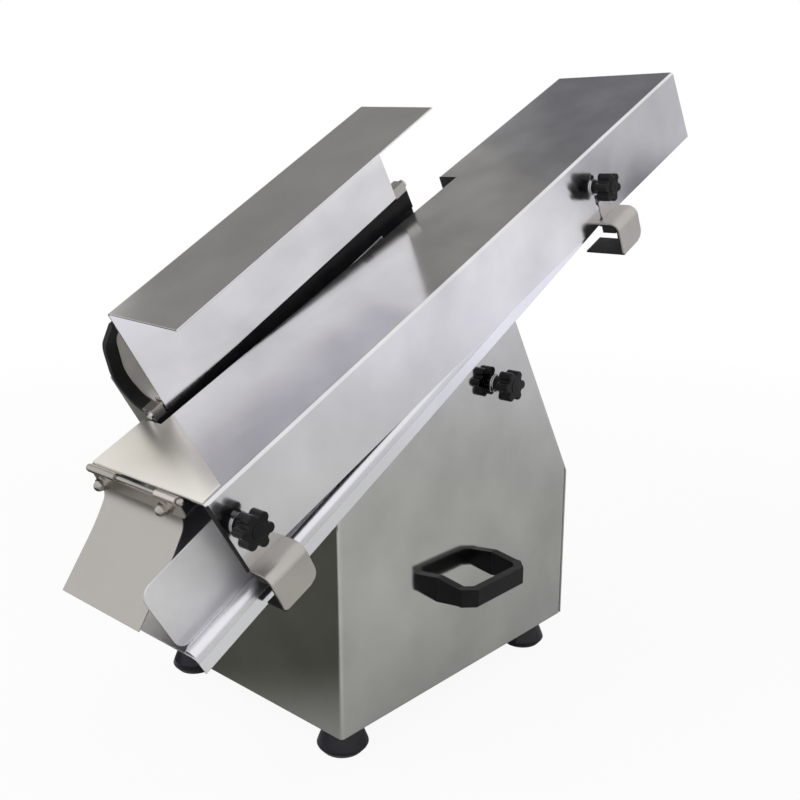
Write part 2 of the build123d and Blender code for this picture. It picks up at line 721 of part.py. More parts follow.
# Washers under the three star knobs
side_knob_x = right_x + CLEAR + WASHER_THICK + CLEAR
knob_seats = {
    "lower": (hood_knob_x, *on_chute(*LOWER_STUD)),
    "upper": (hood_knob_x, *on_chute(*UPPER_STUD)),
    "side": (side_knob_x, side_stud_y, side_stud_z),
}
with BuildPart() as clamp_washers:
    for knob_x, knob_y, knob_z in knob_seats.values():
        with BuildSketch(facing_right(knob_x - CLEAR, knob_y, knob_z)):
            Circle(WASHER_RADIUS)
            Circle(STUD_RADIUS + SEAT, mode=Mode.SUBTRACT)
        extrude(amount=-WASHER_THICK)


def star_knob(x, y, z):
    """Lobed clamp knob with a neck and a blind bore, its base at x."""
    seat = facing_right(x, y, z)
    with BuildPart() as knob:
        with BuildSketch(seat):
            Circle(KNOB_NECK_RADIUS)
        extrude(amount=KNOB_NECK)
        with BuildSketch(seat.offset(KNOB_NECK)) as star:
            Circle(KNOB_CORE)
            with PolarLocations(KNOB_CORE, KNOB_LOBES):
                Circle(KNOB_LOBE)
            fillet(star.vertices(), KNOB_EDGE)
        extrude(amount=KNOB_HEAD)
        fillet(knob.faces().sort_by(Axis.X)[-1].edges(), KNOB_EDGE)
        with BuildSketch(seat):
            Circle(STUD_RADIUS + FIT)
        extrude(amount=KNOB_BORE, mode=Mode.SUBTRACT)
    return knob


knob_lower = star_knob(*knob_seats["lower"])
knob_upper = star_knob(*knob_seats["upper"])
knob_side = star_knob(*knob_seats["side"])

# Exit flap hinge: a leaf on the hood, a long pin with a ball end, and a strip on the flap
hinge = hood_top.from_local_coords((0, -HINGE_AHEAD, -HINGE_BELOW))
flap_left_x = right_x - FLAP_LEFT
strip_right_x = flap_left_x + STRIP_LENGTH


def hinge_at(x):
    """Plane on the hinge axis at x, extruding to +X."""
    return facing_right(x, hinge.Y, hinge.Z)


with BuildPart() as hinge_leaf:
    with BuildSketch(hinge_at(flap_left_x)):
        Circle(KNUCKLE_RADIUS)
    extrude(amount=HOOD_LEAF_WIDTH)
    with BuildSketch(hood_top.offset(-SHEET)):
        with Locations((flap_left_x, -HINGE_AHEAD)):
            Rectangle(HOOD_LEAF_WIDTH, HOOD_LEAF_LENGTH + HINGE_AHEAD, align=(Align.MIN, Align.MIN))
    extrude(amount=-SHEET)
    with BuildSketch(hinge_at(flap_left_x)):
        Circle(PIN_RADIUS + SEAT)
    extrude(amount=HOOD_LEAF_WIDTH, mode=Mode.SUBTRACT)

pin_left_x = flap_left_x - CLEAR
with BuildPart() as hinge_pin:
    with BuildSketch(hinge_at(pin_left_x)):
        Circle(PIN_RADIUS)
    extrude(amount=strip_right_x + PIN_BALL_RADIUS - pin_left_x)
    with BuildSketch(hinge_at(pin_left_x)):
        Circle(PIN_BALL_RADIUS)
    extrude(amount=-PIN_RADIUS)
    with Locations(hinge_at(strip_right_x + PIN_BALL_RADIUS + CLEAR)):
        Sphere(PIN_BALL_RADIUS)


def hanging(start, length, lean):
    """Place at a length from a start, hanging down and leaning to +Y by an angle in degrees."""
    return start[0] + length * sin(radians(lean)), start[1] - length * cos(radians(lean))


# The strip's own plane: y runs down the strip, z into the channel
strip_normal = (0, cos(radians(STRIP_LEAN)), sin(radians(STRIP_LEAN)))
strip_axis = Plane((0, hinge.Y, hinge.Z), x_dir=(1, 0, 0), z_dir=strip_normal)
strip_top = KNUCKLE_RADIUS + SLIP
bolt_x = (flap_left_x + FLAP_BOLT_EDGE, flap_left_x + FLAP_WIDTH - FLAP_BOLT_EDGE)
with BuildPart() as flap_strip:
    with BuildSketch(strip_axis.offset(-SHEET / 2)) as strip_face:
        with Locations((flap_left_x, strip_top)):
            Rectangle(STRIP_LENGTH, STRIP_HEIGHT, align=(Align.MIN, Align.MIN))
        fillet(strip_face.vertices().group_by(Axis.Y)[-1], STRIP_HEIGHT / 3)
        with Locations((strip_right_x, 0)):
            Rectangle(FLAP_KNUCKLE, STRIP_HEIGHT, align=(Align.MAX, Align.MIN))
    extrude(amount=SHEET)
    with BuildSketch(hinge_at(strip_right_x - FLAP_KNUCKLE)):
        Circle(KNUCKLE_RADIUS)
    extrude(amount=FLAP_KNUCKLE)
    with BuildSketch(hinge_at(strip_right_x - FLAP_KNUCKLE)):
        Circle(PIN_RADIUS + FIT)
    extrude(amount=FLAP_KNUCKLE, mode=Mode.SUBTRACT)
    with BuildSketch(strip_axis.offset(-SHEET)):
        for x in bolt_x:
            with Locations((x, FLAP_BOLT_DROP)):
                Circle(FLAP_BOLT_RADIUS + SEAT)
    extrude(amount=2 * SHEET, mode=Mode.SUBTRACT)

# Flap: a curved sheet that hangs inside the strip and swings out over the tray's end
strip_inside = (SHEET / 2 * strip_normal[1], SHEET / 2 * strip_normal[2])
flap_line = [hanging(strip_inside, FLAP_TOP, STRIP_LEAN)]
flap_line.append(hanging(flap_line[0], FLAP_ROOT - FLAP_TOP, STRIP_LEAN))
flap_line.append(hanging(flap_line[1], FLAP_MIDDLE, FLAP_MIDDLE_LEAN))
flap_line.append(hanging(flap_line[2], FLAP_END, FLAP_END_LEAN))
with BuildPart() as exit_flap:
    with BuildSketch(hinge_at(flap_left_x)):
        with BuildLine():
            FilletPolyline(*flap_line, radius=[FLAP_ROOT_ROUND, FLAP_END_ROUND])
            offset(amount=FLAP_SHEET, side=Side.LEFT)
        make_face()
    extrude(amount=FLAP_WIDTH)
    with BuildSketch(strip_axis.offset(-SHEET)):
        for x in bolt_x:
            with Locations((x, FLAP_BOLT_DROP)):
                Circle(FLAP_BOLT_RADIUS + SEAT)
    extrude(amount=4 * SHEET, mode=Mode.SUBTRACT)

# Dome nuts outside the strip, each with its bolt through the strip and the flap
strip_out = strip_axis.offset(-SHEET / 2)
with BuildPart() as flap_nuts:
    for x in bolt_x:
        with BuildSketch(strip_out):
            with Locations((x, FLAP_BOLT_DROP)):
                RegularPolygon(DOME_RADIUS, 6)
        extrude(amount=-DOME_HEIGHT / 2)
        with BuildSketch(strip_out):
            with Locations((x, FLAP_BOLT_DROP)):
                Circle(DOME_WASHER)
        extrude(amount=-DOME_WASHER_THICK)
        with BuildSketch(strip_out):
            with Locations((x, FLAP_BOLT_DROP)):
                Circle(FLAP_BOLT_RADIUS)
        extrude(amount=SHEET + FLAP_SHEET + CLEAR)
        with BuildSketch(strip_out.offset(SHEET + FLAP_SHEET + CLEAR)):
            with Locations((x, FLAP_BOLT_DROP)):
                Circle(2 * FLAP_BOLT_RADIUS)
        extrude(amount=FLAP_BOLT_RADIUS)
        with Locations(strip_out.offset(-DOME_HEIGHT / 2)):
            with Locations((x, FLAP_BOLT_DROP, 0)):
                Sphere(DOME_HEIGHT / 2)

# Blade housing: a box over the deck, open below, slotted where the blade passes into the channel
housing_left_x = -right_x
housing_width = housing_x - housing_left_x
housing_length = housing_end - HOUSING_START
with BuildPart() as blade_housing:
    with BuildSketch(chute.offset(deck_top)):
        with Locations((housing_left_x, HOUSING_START)):
            Rectangle(housing_width, housing_length, align=(Align.MIN, Align.MIN))
    extrude(amount=HOUSING_TOP - deck_top)
    offset(amount=-SHEET, openings=blade_housing.faces().sort_by(chute_up)[0])
    with BuildSketch(beside(chute, housing_x - 2 * SHEET)):
        with Locations((BLADE_ALONG, BLADE_HEIGHT)):
            SlotOverall(2 * slot_half, BLADE_SLOT)
    extrude(amount=3 * SHEET, mode=Mode.SUBTRACT)
    with BuildSketch(chute.offset(HOUSING_TOP)):
        with Locations((spindle_x, BLADE_ALONG)):
            Circle(SPINDLE_RADIUS + SHEET)
            with PolarLocations(BEARING_BOLT_CIRCLE, 3, start_angle=90, angular_range=270):
                Circle(BEARING_BOLT_RADIUS + BOLT_PLAY)
        with Locations((spindle_x, motor_along)):
            Circle(MOTOR_SHAFT_RADIUS + SHEET)
    extrude(amount=-2 * SHEET, mode=Mode.SUBTRACT)

# Rail: black bar on the housing that carries both guards
with BuildPart() as guard_rail:
    with BuildSketch(across(chute, RAIL_END)):
        with Locations((rail_x, HOUSING_TOP)):
            Rectangle(RAIL_WIDTH, RAIL_HEIGHT, align=(Align.MAX, Align.MIN))
    extrude(amount=RAIL_END - RAIL_START)

# Front guard: upright wall with a wide lip over the hood, and an ear at each end for its pivots
wall_low = rail_top + GUARD_LIFT
guard_fold = wall_low + GUARD_WALL
pivot_x = rail_x - PIVOT_IN
pivot_height = rail_top + PIVOT_LIFT
with BuildPart() as front_guard:
    with BuildSketch(across(chute, GUARD_END)):
        with BuildLine():
            FilletPolyline(
                (rail_x, wall_low),
                (rail_x, guard_fold),
                (rail_x + GUARD_LIP, guard_fold - GUARD_DROOP),
                radius=BEND,
            )
            offset(amount=SHEET, side=Side.RIGHT)
        make_face()
    extrude(amount=GUARD_END - GUARD_START)
    for ear_top in (GUARD_START + SHEET, GUARD_END):
        with BuildSketch(across(chute, ear_top)):
            with Locations((guard_x, wall_low)):
                Rectangle(EAR_WIDTH + SHEET, EAR_HEIGHT, align=(Align.MAX, Align.MIN))
        extrude(amount=SHEET)
    with BuildSketch(across(chute, GUARD_END)):
        with Locations((pivot_x, pivot_height)):
            Circle(PIVOT_RADIUS + FIT)
    extrude(amount=GUARD_END - GUARD_START, mode=Mode.SUBTRACT)

# Pivot blocks at the ends of the rail, and the screws that the front guard turns on
block_ends = ((RAIL_START, GUARD_START - BLOCK_GAP), (GUARD_END + BLOCK_GAP, RAIL_END))
with BuildPart() as guard_pivot_blocks:
    for block_low, block_high in block_ends:
        with BuildSketch(across(chute, block_high)):
            with Locations((rail_x, rail_top)):
                Rectangle(RAIL_WIDTH, BLOCK_HEIGHT, align=(Align.MAX, Align.MIN))
            with Locations((pivot_x, pivot_height)):
                Circle(PIVOT_RADIUS + SEAT, mode=Mode.SUBTRACT)
        extrude(amount=block_high - block_low)

screw_past = SHEET + PIVOT_RADIUS
head_thick = PIVOT_RADIUS
lower_screw = (GUARD_START + screw_past, RAIL_START, RAIL_START)
upper_screw = (RAIL_END, GUARD_END - screw_past, RAIL_END + head_thick)
with BuildPart() as guard_pivot_screws:
    for shank_high, shank_low, head_high in (lower_screw, upper_screw):
        with BuildSketch(across(chute, shank_high)):
            with Locations((pivot_x, pivot_height)):
                Circle(PIVOT_RADIUS)
        extrude(amount=shank_high - shank_low)
        with BuildSketch(across(chute, head_high)):
            with Locations((pivot_x, pivot_height)):
                Circle(2 * PIVOT_RADIUS)
        extrude(amount=head_thick)


def rear_guard_face(along, grow):
    """Section of the curved rear guard at a place along the tray, grown all round by a thickness."""
    with BuildSketch(across(chute, along)) as face:
        with BuildLine():
            FilletPolyline(
                (rail_x - 2 * SHEET, guard_fold - REAR_GUARD_DROP),
                (rail_left_x - REAR_GUARD_SHOULDER[0], guard_fold - REAR_GUARD_SHOULDER[1]),
                (rail_left_x - REAR_GUARD_BULGE[0], HOUSING_TOP + REAR_GUARD_BULGE[1]),
                (rail_left_x - REAR_GUARD_BELLY[0], HOUSING_TOP + REAR_GUARD_BELLY[1]),
                (rail_left_x - TRIM_PLAY, HOUSING_TOP + REAR_GUARD_FLOOR),
                (rail_left_x - TRIM_PLAY, rail_top - SHEET),
                radius=[*REAR_GUARD_ROUNDS, BEND],
            )
            offset(amount=SHEET, side=Side.LEFT)
        make_face()
        if grow:
            offset(amount=grow)
    return face.sketch


# Rear guard: curved sheet from the fold of the front guard round to the rail, open for the two shafts
rear_face = rear_guard_face(REAR_GUARD_END, 0)
with BuildPart() as rear_guard:
    extrude(rear_face, amount=REAR_GUARD_END - GUARD_START)
    with BuildSketch(chute.offset(HOUSING_TOP)):
        with Locations((spindle_x, BLADE_ALONG)):
            Circle(SPINDLE_RADIUS + 2 * SHEET)
        with Locations((spindle_x, motor_along)):
            Circle(MOTOR_SHAFT_RADIUS + 2 * SHEET)
    extrude(amount=RAIL_HEIGHT, mode=Mode.SUBTRACT)


def edge_trim(top, sheet_top):
    """Rubber channel over an end of the rear guard: top is its upper end, sheet_top the sheet's in it."""
    outside = rear_guard_face(top, TRIM_THICK)
    groove = rear_guard_face(sheet_top, TRIM_PLAY)
    with BuildPart() as trim:
        extrude(outside, amount=TRIM_WIDTH)
        extrude(groove, amount=TRIM_WIDTH, mode=Mode.SUBTRACT)
        with BuildSketch(across(chute, top)):
            with Locations((rail_left_x - 2 * SHEET, HOUSING_TOP)):
                Rectangle(RAIL_WIDTH, RAIL_HEIGHT + TRIM_THICK, align=(Align.MIN, Align.MIN))
        extrude(amount=TRIM_WIDTH, mode=Mode.SUBTRACT)
    return trim


trim_low = GUARD_START - TRIM_LAP
edge_trim_lower = edge_trim(trim_low + TRIM_WIDTH, trim_low + TRIM_WIDTH + TRIM_LAP - TRIM_PLAY)
edge_trim_upper = edge_trim(REAR_GUARD_END + TRIM_LAP, REAR_GUARD_END + TRIM_PLAY)


def turned(x, along, outline):
    """Body turned about an axis square to the tray, from its outline of radii and heights."""
    with BuildPart() as body:
        with BuildSketch(across(chute, along)):
            with BuildLine():
                Polyline(*[(x + radius, height) for radius, height in outline], close=True)
            make_face()
        revolve(axis=Axis(chute.from_local_coords((x, along, 0)), chute.z_dir))
    return body


# Bearing housing under the housing's top, its two bearings and bolts
plate_bottom = HOUSING_TOP - SHEET
bearing_seat = BEARING_RADIUS + SEAT
bearing_step = SPINDLE_COLLAR_RADIUS + BEARING_WALL / 2
lower_top = LOWER_BEARING + BEARING_WIDTH
upper_bearing_low = lower_top + BEARING_GAP
barrel = BEARING_RADIUS + BEARING_WALL
barrel_low = LOWER_BEARING - SHEET
bearing_housing_blank = turned(
    spindle_x,
    BLADE_ALONG,
    [
        (bearing_seat, barrel_low),
        (barrel, barrel_low),
        (barrel, plate_bottom - BEARING_FLANGE),
        (BEARING_FLANGE_RADIUS, plate_bottom - BEARING_FLANGE),
        (BEARING_FLANGE_RADIUS, plate_bottom),
        (bearing_seat, plate_bottom),
        (bearing_seat, upper_bearing_low),
        (bearing_step, upper_bearing_low),
        (bearing_step, lower_top),
        (bearing_seat, lower_top),
    ],
)
with BuildPart() as bearing_housing:
    add(bearing_housing_blank.part)
    with BuildSketch(chute.offset(plate_bottom)):
        with Locations((spindle_x, BLADE_ALONG)):
            with PolarLocations(BEARING_BOLT_CIRCLE, 3, start_angle=90, angular_range=270):
                Circle(BEARING_BOLT_RADIUS + SEAT)
        with Locations((housing_x - SHEET - SLIP, BLADE_ALONG)):
            Rectangle(BEARING_FLANGE_RADIUS, 2 * BEARING_FLANGE_RADIUS, align=(Align.MIN, Align.CENTER))
    extrude(amount=-BEARING_FLANGE, mode=Mode.SUBTRACT)


def bearing(low):
    """Ball bearing with recessed shields, from its lower face."""
    inner = SPINDLE_RADIUS + FIT
    high = low + BEARING_WIDTH
    shield_in = inner + (BEARING_RADIUS - inner) / 3
    shield_out = BEARING_RADIUS - (BEARING_RADIUS - inner) / 3
    recess = BEARING_WIDTH / 12
    outline = [
        (inner, low),
        (shield_in, low),
        (shield_in, low + recess),
        (shield_out, low + recess),
        (shield_out, low),
        (BEARING_RADIUS, low),
        (BEARING_RADIUS, high),
        (shield_out, high),
        (shield_out, high - recess),
        (shield_in, high - recess),
        (shield_in, high),
        (inner, high),
    ]
    return turned(spindle_x, BLADE_ALONG, outline)


bearing_lower = bearing(LOWER_BEARING)
bearing_upper = bearing(upper_bearing_low)

bolt_shank = (BEARING_BOLT_RADIUS, -SHEET - BEARING_FLANGE)
bolt_head = (2 * BEARING_BOLT_RADIUS, SHEET)
with BuildPart() as bearing_bolts:
    for bolt_radius, bolt_length in (bolt_shank, bolt_head):
        with BuildSketch(chute.offset(HOUSING_TOP)):
            with Locations((spindle_x, BLADE_ALONG)):
                with PolarLocations(BEARING_BOLT_CIRCLE, 3, start_angle=90, angular_range=270):
                    Circle(bolt_radius)
        extrude(amount=bolt_length)

# Spindle with the blade clamped at its lower end and the pulley at its upper end
blade_low = BLADE_HEIGHT - BLADE_THICK / 2
blade_high = BLADE_HEIGHT + BLADE_THICK / 2
shoulder = blade_high + FLANGE_THICK
clamp_low = blade_low - CLAMP_THICK
nut_low = clamp_low - NUT_HEIGHT
pulley_high = PULLEY_LOW + PULLEY_WIDTH
spindle = turned(
    spindle_x,
    BLADE_ALONG,
    [
        (0, nut_low - SHEET),
        (SPINDLE_END_RADIUS, nut_low - SHEET),
        (SPINDLE_END_RADIUS, shoulder),
        (SPINDLE_RADIUS, shoulder),
        (SPINDLE_RADIUS, lower_top + CLEAR),
        (SPINDLE_COLLAR_RADIUS, lower_top + CLEAR),
        (SPINDLE_COLLAR_RADIUS, upper_bearing_low - CLEAR),
        (SPINDLE_RADIUS, upper_bearing_low - CLEAR),
        (SPINDLE_RADIUS, PULLEY_LOW),
        (SPINDLE_END_RADIUS, PULLEY_LOW),
        (SPINDLE_END_RADIUS, pulley_high + SHEET),
        (0, pulley_high + SHEET),
    ],
)
hub_bore = SPINDLE_END_RADIUS + SEAT
bevel_radius = BLADE_RADIUS - BLADE_BEVEL
edge_half = BLADE_THICK / 14
blade = turned(
    spindle_x,
    BLADE_ALONG,
    [
        (hub_bore, blade_low),
        (bevel_radius, blade_low),
        (BLADE_RADIUS, BLADE_HEIGHT - edge_half),
        (BLADE_RADIUS, BLADE_HEIGHT + edge_half),
        (bevel_radius, blade_high),
        (hub_bore, blade_high),
    ],
)
blade_flange = turned(
    spindle_x,
    BLADE_ALONG,
    [
        (hub_bore, blade_high),
        (FLANGE_RADIUS, blade_high),
        (FLANGE_RADIUS, blade_high + FLANGE_THICK / 2),
        (FLANGE_RADIUS / 2, shoulder),
        (hub_bore, shoulder),
    ],
)
blade_clamp = turned(
    spindle_x,
    BLADE_ALONG,
    [
        (hub_bore, clamp_low),
        (FLANGE_RADIUS - CLAMP_THICK, clamp_low),
        (FLANGE_RADIUS, blade_low - CLAMP_THICK / 3),
        (FLANGE_RADIUS, blade_low),
        (hub_bore, blade_low),
    ],
)
with BuildPart() as blade_nut:
    with BuildSketch(chute.offset(clamp_low)):
        with Locations((spindle_x, BLADE_ALONG)):
            RegularPolygon(NUT_ACROSS / 2, 6, major_radius=False)
            Circle(hub_bore, mode=Mode.SUBTRACT)
    extrude(amount=-NUT_HEIGHT)


def pulley(along, bore, seat_radius):
    """Belt pulley with a rim on each side of the belt."""
    rim = seat_radius + PULLEY_RIM
    outline = [
        (bore, PULLEY_LOW),
        (rim, PULLEY_LOW),
        (rim, PULLEY_LOW + PULLEY_RIM_WIDTH),
        (seat_radius, PULLEY_LOW + PULLEY_RIM_WIDTH),
        (seat_radius, pulley_high - PULLEY_RIM_WIDTH),
        (rim, pulley_high - PULLEY_RIM_WIDTH),
        (rim, pulley_high),
        (bore, pulley_high),
    ]
    return turned(spindle_x, along, outline)


spindle_pulley = pulley(BLADE_ALONG, hub_bore, SPINDLE_PULLEY_RADIUS)
motor_pulley = pulley(motor_along, MOTOR_SHAFT_RADIUS + SEAT, MOTOR_PULLEY_RADIUS)

# Belt: a closed loop round both pulleys
belt_low = PULLEY_LOW + PULLEY_RIM_WIDTH + CLEAR
belt_width = PULLEY_WIDTH - 2 * PULLEY_RIM_WIDTH - 2 * CLEAR
with BuildPart() as drive_belt:
    for grow, mode in ((BELT_PLAY + BELT_THICK, Mode.ADD), (BELT_PLAY, Mode.SUBTRACT)):
        with BuildSketch(chute.offset(belt_low)):
            with Locations((spindle_x, BLADE_ALONG)):
                Circle(SPINDLE_PULLEY_RADIUS + grow)
            with Locations((spindle_x, motor_along)):
                Circle(MOTOR_PULLEY_RADIUS + grow)
            make_hull()
        extrude(amount=belt_width, mode=mode)

# Motor under the deck, its mount with the arm for the side knob, and the bolts through the deck
mount_low = deck_bottom - MOUNT_THICK
arm_x = right_x - SHEET - SLIP
mount_left_x = spindle_x - MOUNT_LEFT
flange_low = mount_low - MOTOR_FLANGE_THICK
with BuildPart() as motor_mount:
    with BuildSketch(chute.offset(deck_bottom)):
        with Locations((mount_left_x, motor_along)):
            Rectangle(arm_x - mount_left_x, MOTOR_FLANGE, align=(Align.MIN, Align.CENTER))
        with Locations((spindle_x, motor_along)):
            Circle(2 * MOTOR_SHAFT_RADIUS, mode=Mode.SUBTRACT)
            with GridLocations(MOTOR_BOLT_SPACING, MOTOR_BOLT_SPACING, 2, 2):
                Circle(MOTOR_BOLT_RADIUS + BOLT_PLAY, mode=Mode.SUBTRACT)
    extrude(amount=-MOUNT_THICK)
    with BuildSketch(beside(chute, arm_x - MOUNT_THICK)):
        with Locations((motor_along - ARM_INSET, deck_bottom)):
            Rectangle(ARM_WIDTH, ARM_DROP, align=(Align.MIN, Align.MAX))
        with Locations(side_stud):
            Circle(STUD_RADIUS + BOLT_PLAY, mode=Mode.SUBTRACT)
    extrude(amount=MOUNT_THICK)

arm_in_x = arm_x - MOUNT_THICK
tension_stud = clamp_stud(arm_in_x, *side_stud, side_knob_x + stud_reach - arm_in_x)

rib = MOTOR_RADIUS / 16
with BuildPart() as motor_body:
    with BuildSketch(chute.offset(mount_low)):
        with Locations((spindle_x, motor_along)):
            RectangleRounded(MOTOR_FLANGE, MOTOR_FLANGE, 2 * MOTOR_FLANGE_THICK)
    extrude(amount=-MOTOR_FLANGE_THICK)
    with BuildSketch(chute.offset(mount_low)):
        with Locations((spindle_x, motor_along)):
            Circle(MOTOR_RADIUS)
    extrude(amount=-MOTOR_LENGTH)
    with BuildSketch(chute.offset(flange_low)):
        with Locations((spindle_x, motor_along)):
            with PolarLocations(MOTOR_RADIUS, MOTOR_FINS):
                Rectangle(2 * rib, rib)
    extrude(amount=-MOTOR_LENGTH * 0.7)
    fillet(motor_body.faces().sort_by(chute_up)[0].edges(), MOTOR_FLANGE_THICK)
    with BuildSketch(chute.offset(mount_low)):
        with Locations((spindle_x, motor_along)):
            Circle(MOTOR_SHAFT_RADIUS + FIT)
    extrude(amount=-SHAFT_IN_MOTOR - CLEAR, mode=Mode.SUBTRACT)
    with BuildSketch(chute.offset(mount_low)):
        with Locations((spindle_x, motor_along)):
            with GridLocations(MOTOR_BOLT_SPACING, MOTOR_BOLT_SPACING, 2, 2):
                Circle(MOTOR_BOLT_RADIUS + BOLT_PLAY)
    extrude(amount=-MOTOR_FLANGE_THICK, mode=Mode.SUBTRACT)

with BuildPart() as motor_shaft:
    with BuildSketch(chute.offset(mount_low - SHAFT_IN_MOTOR)):
        with Locations((spindle_x, motor_along)):
            Circle(MOTOR_SHAFT_RADIUS)
    extrude(amount=pulley_high + SHEET - mount_low + SHAFT_IN_MOTOR)

bolt_nut = 1.6 * MOTOR_BOLT_RADIUS
with BuildPart() as motor_bolts:
    with BuildSketch(chute.offset(flange_low)):
        with Locations((spindle_x, motor_along)):
            with GridLocations(MOTOR_BOLT_SPACING, MOTOR_BOLT_SPACING, 2, 2):
                Circle(MOTOR_BOLT_RADIUS)
    extrude(amount=MOTOR_FLANGE_THICK + MOUNT_THICK - CLEAR)
    with BuildSketch(chute.offset(flange_low)):
        with Locations((spindle_x, motor_along)):
            with GridLocations(MOTOR_BOLT_SPACING, MOTOR_BOLT_SPACING, 2, 2):
                RegularPolygon(bolt_nut, 6, major_radius=False)
    extrude(amount=-MOTOR_BOLT_RADIUS)

# Rocker switch in the left side
switch_face = Plane((-right_x, switch_y, switch_z), x_dir=(0, -1, 0), z_dir=(-1, 0, 0))
rocker_side = Plane((-right_x, switch_y, switch_z), x_dir=(-1, 0, 0), z_dir=(0, 1, 0))
rocker_out = (-cos(radians(ROCKER_TILT)), 0, sin(radians(ROCKER_TILT)))
rocker_tilted = Plane((-right_x, switch_y, switch_z), x_dir=rocker_out, z_dir=(0, 1, 0))
rocker_half = ROCKER_LENGTH / 2
with BuildPart() as switch_body:
    with BuildSketch(switch_face):
        RectangleRounded(SWITCH_WIDTH + 2 * SWITCH_BEZEL, SWITCH_HEIGHT + 2 * SWITCH_BEZEL, SWITCH_BEZEL)
    extrude(amount=SWITCH_BEZEL_THICK)
    with BuildSketch(switch_face):
        Rectangle(SWITCH_WIDTH, SWITCH_HEIGHT)
    extrude(amount=-SWITCH_DEPTH)
    with BuildSketch(switch_face.offset(SWITCH_BEZEL_THICK)):
        Rectangle(ROCKER_WIDTH + 2 * CLEAR, ROCKER_LENGTH + ROCKER_DEPTH)
    extrude(amount=-POCKET_DEPTH, mode=Mode.SUBTRACT)
    with BuildSketch(rocker_side):
        Circle(ROCKER_PIN_RADIUS + FIT)
    extrude(amount=ROCKER_WIDTH / 2 + ROCKER_PIN_DEPTH + 2 * CLEAR, both=True, mode=Mode.SUBTRACT)
with BuildPart() as switch_rocker:
    with BuildSketch(rocker_tilted):
        with BuildLine():
            Polyline(
                (-ROCKER_DEPTH, -rocker_half / 2),
                (0, -rocker_half),
                (ROCKER_DEPTH, -rocker_half),
                (ROCKER_DEPTH * 0.7, 0),
                (ROCKER_DEPTH, rocker_half),
                (0, rocker_half),
                (-ROCKER_DEPTH, rocker_half / 2),
                close=True,
            )
        make_face()
    extrude(amount=ROCKER_WIDTH / 2, both=True)
    with BuildSketch(rocker_side):
        Circle(ROCKER_PIN_RADIUS)
    extrude(amount=ROCKER_WIDTH / 2 + CLEAR + ROCKER_PIN_DEPTH, both=True)

# Cable gland in the rear panel and the nut behind it
gland_face = Plane((GLAND_X, rear_y, base_z + GLAND_UP), x_dir=(-1, 0, 0), z_dir=(0, 1, 0))
with BuildPart() as cable_gland:
    with BuildSketch(gland_face):
        RegularPolygon(GLAND_HEX / 2, 6, major_radius=False)
    extrude(amount=GLAND_NUT_HEIGHT)
    with BuildSketch(gland_face.offset(GLAND_NUT_HEIGHT)):
        Circle(GLAND_HEX / 2)
    extrude(amount=GLAND_DOME - GLAND_NUT_HEIGHT, taper=12)
    with BuildSketch(gland_face):
        Circle(GLAND_THREAD)
    extrude(amount=-SHEET - GLAND_NUT_HEIGHT - SHEET)
    with BuildSketch(gland_face):
        Circle(GLAND_BORE)
    extrude(amount=GLAND_DOME, both=True, mode=Mode.SUBTRACT)
with BuildPart() as gland_nut:
    with BuildSketch(gland_face.offset(-SHEET)):
        RegularPolygon(GLAND_HEX / 2, 6, major_radius=False)
        Circle(GLAND_THREAD + SEAT, mode=Mode.SUBTRACT)
    extrude(amount=-GLAND_NUT_HEIGHT)

os.makedirs("parts", exist_ok=True)
pieces = {
    "casing_shell": casing_shell,
    "rear_panel": rear_panel,
    "rear_panel_screws": rear_panel_screws,
    "base_plate": base_plate,
    "feet": feet,
    "foot_nuts": foot_nuts,
    "deck_plate": deck_plate,
    "carry_handle_right": carry_handle_right,
    "carry_handle_left": carry_handle_left,
    "handle_screws": handle_screws,
    "tray": tray,
    "guide_wall_right": guide_wall_right,
    "clamp_studs": clamp_studs,
    "clamp_washers": clamp_washers,
    "knob_lower": knob_lower,
    "knob_upper": knob_upper,
    "knob_side": knob_side,
    "hood_end": hood_end,
    "hood": hood,
    "hood_head": hood_head,
    "tab_lower": tab_lower,
    "tab_upper": tab_upper,
    "tab_pads": tab_pads,
    "hinge_leaf": hinge_leaf,
    "hinge_pin": hinge_pin,
    "exit_flap": exit_flap,
    "flap_strip": flap_strip,
    "flap_nuts": flap_nuts,
    "front_guard": front_guard,
    "guard_rail": guard_rail,
    "guard_pivot_blocks": guard_pivot_blocks,
    "guard_pivot_screws": guard_pivot_screws,
    "rear_guard": rear_guard,
    "edge_trim_lower": edge_trim_lower,
    "edge_trim_upper": edge_trim_upper,
    "blade_housing": blade_housing,
    "bearing_housing": bearing_housing,
    "bearing_lower": bearing_lower,
    "bearing_upper": bearing_upper,
    "bearing_bolts": bearing_bolts,
    "spindle": spindle,
    "blade": blade,
    "blade_flange": blade_flange,
    "blade_clamp": blade_clamp,
    "blade_nut": blade_nut,
    "spindle_pulley": spindle_pulley,
    "drive_belt": drive_belt,
    "motor_pulley": motor_pulley,
    "motor_shaft": motor_shaft,
    "motor_body": motor_body,
    "motor_mount": motor_mount,
    "tension_stud": tension_stud,
    "motor_bolts": motor_bolts,
    "switch_body": switch_body,
    "switch_rocker": switch_rocker,
    "cable_gland": cable_gland,
    "gland_nut": gland_nut,
}
for label, piece in pieces.items():
    piece.part.label = label
    export_step(piece.part, f"parts/{label}.step")
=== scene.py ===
"""Looks of a gravity bun slicer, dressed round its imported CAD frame."""

import logging
import math
from dataclasses import dataclass
from enum import Enum
from typing import Protocol

import bmesh
import bpy
from mathutils import Euler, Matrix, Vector
from mathutils.bvhtree import BVHTree


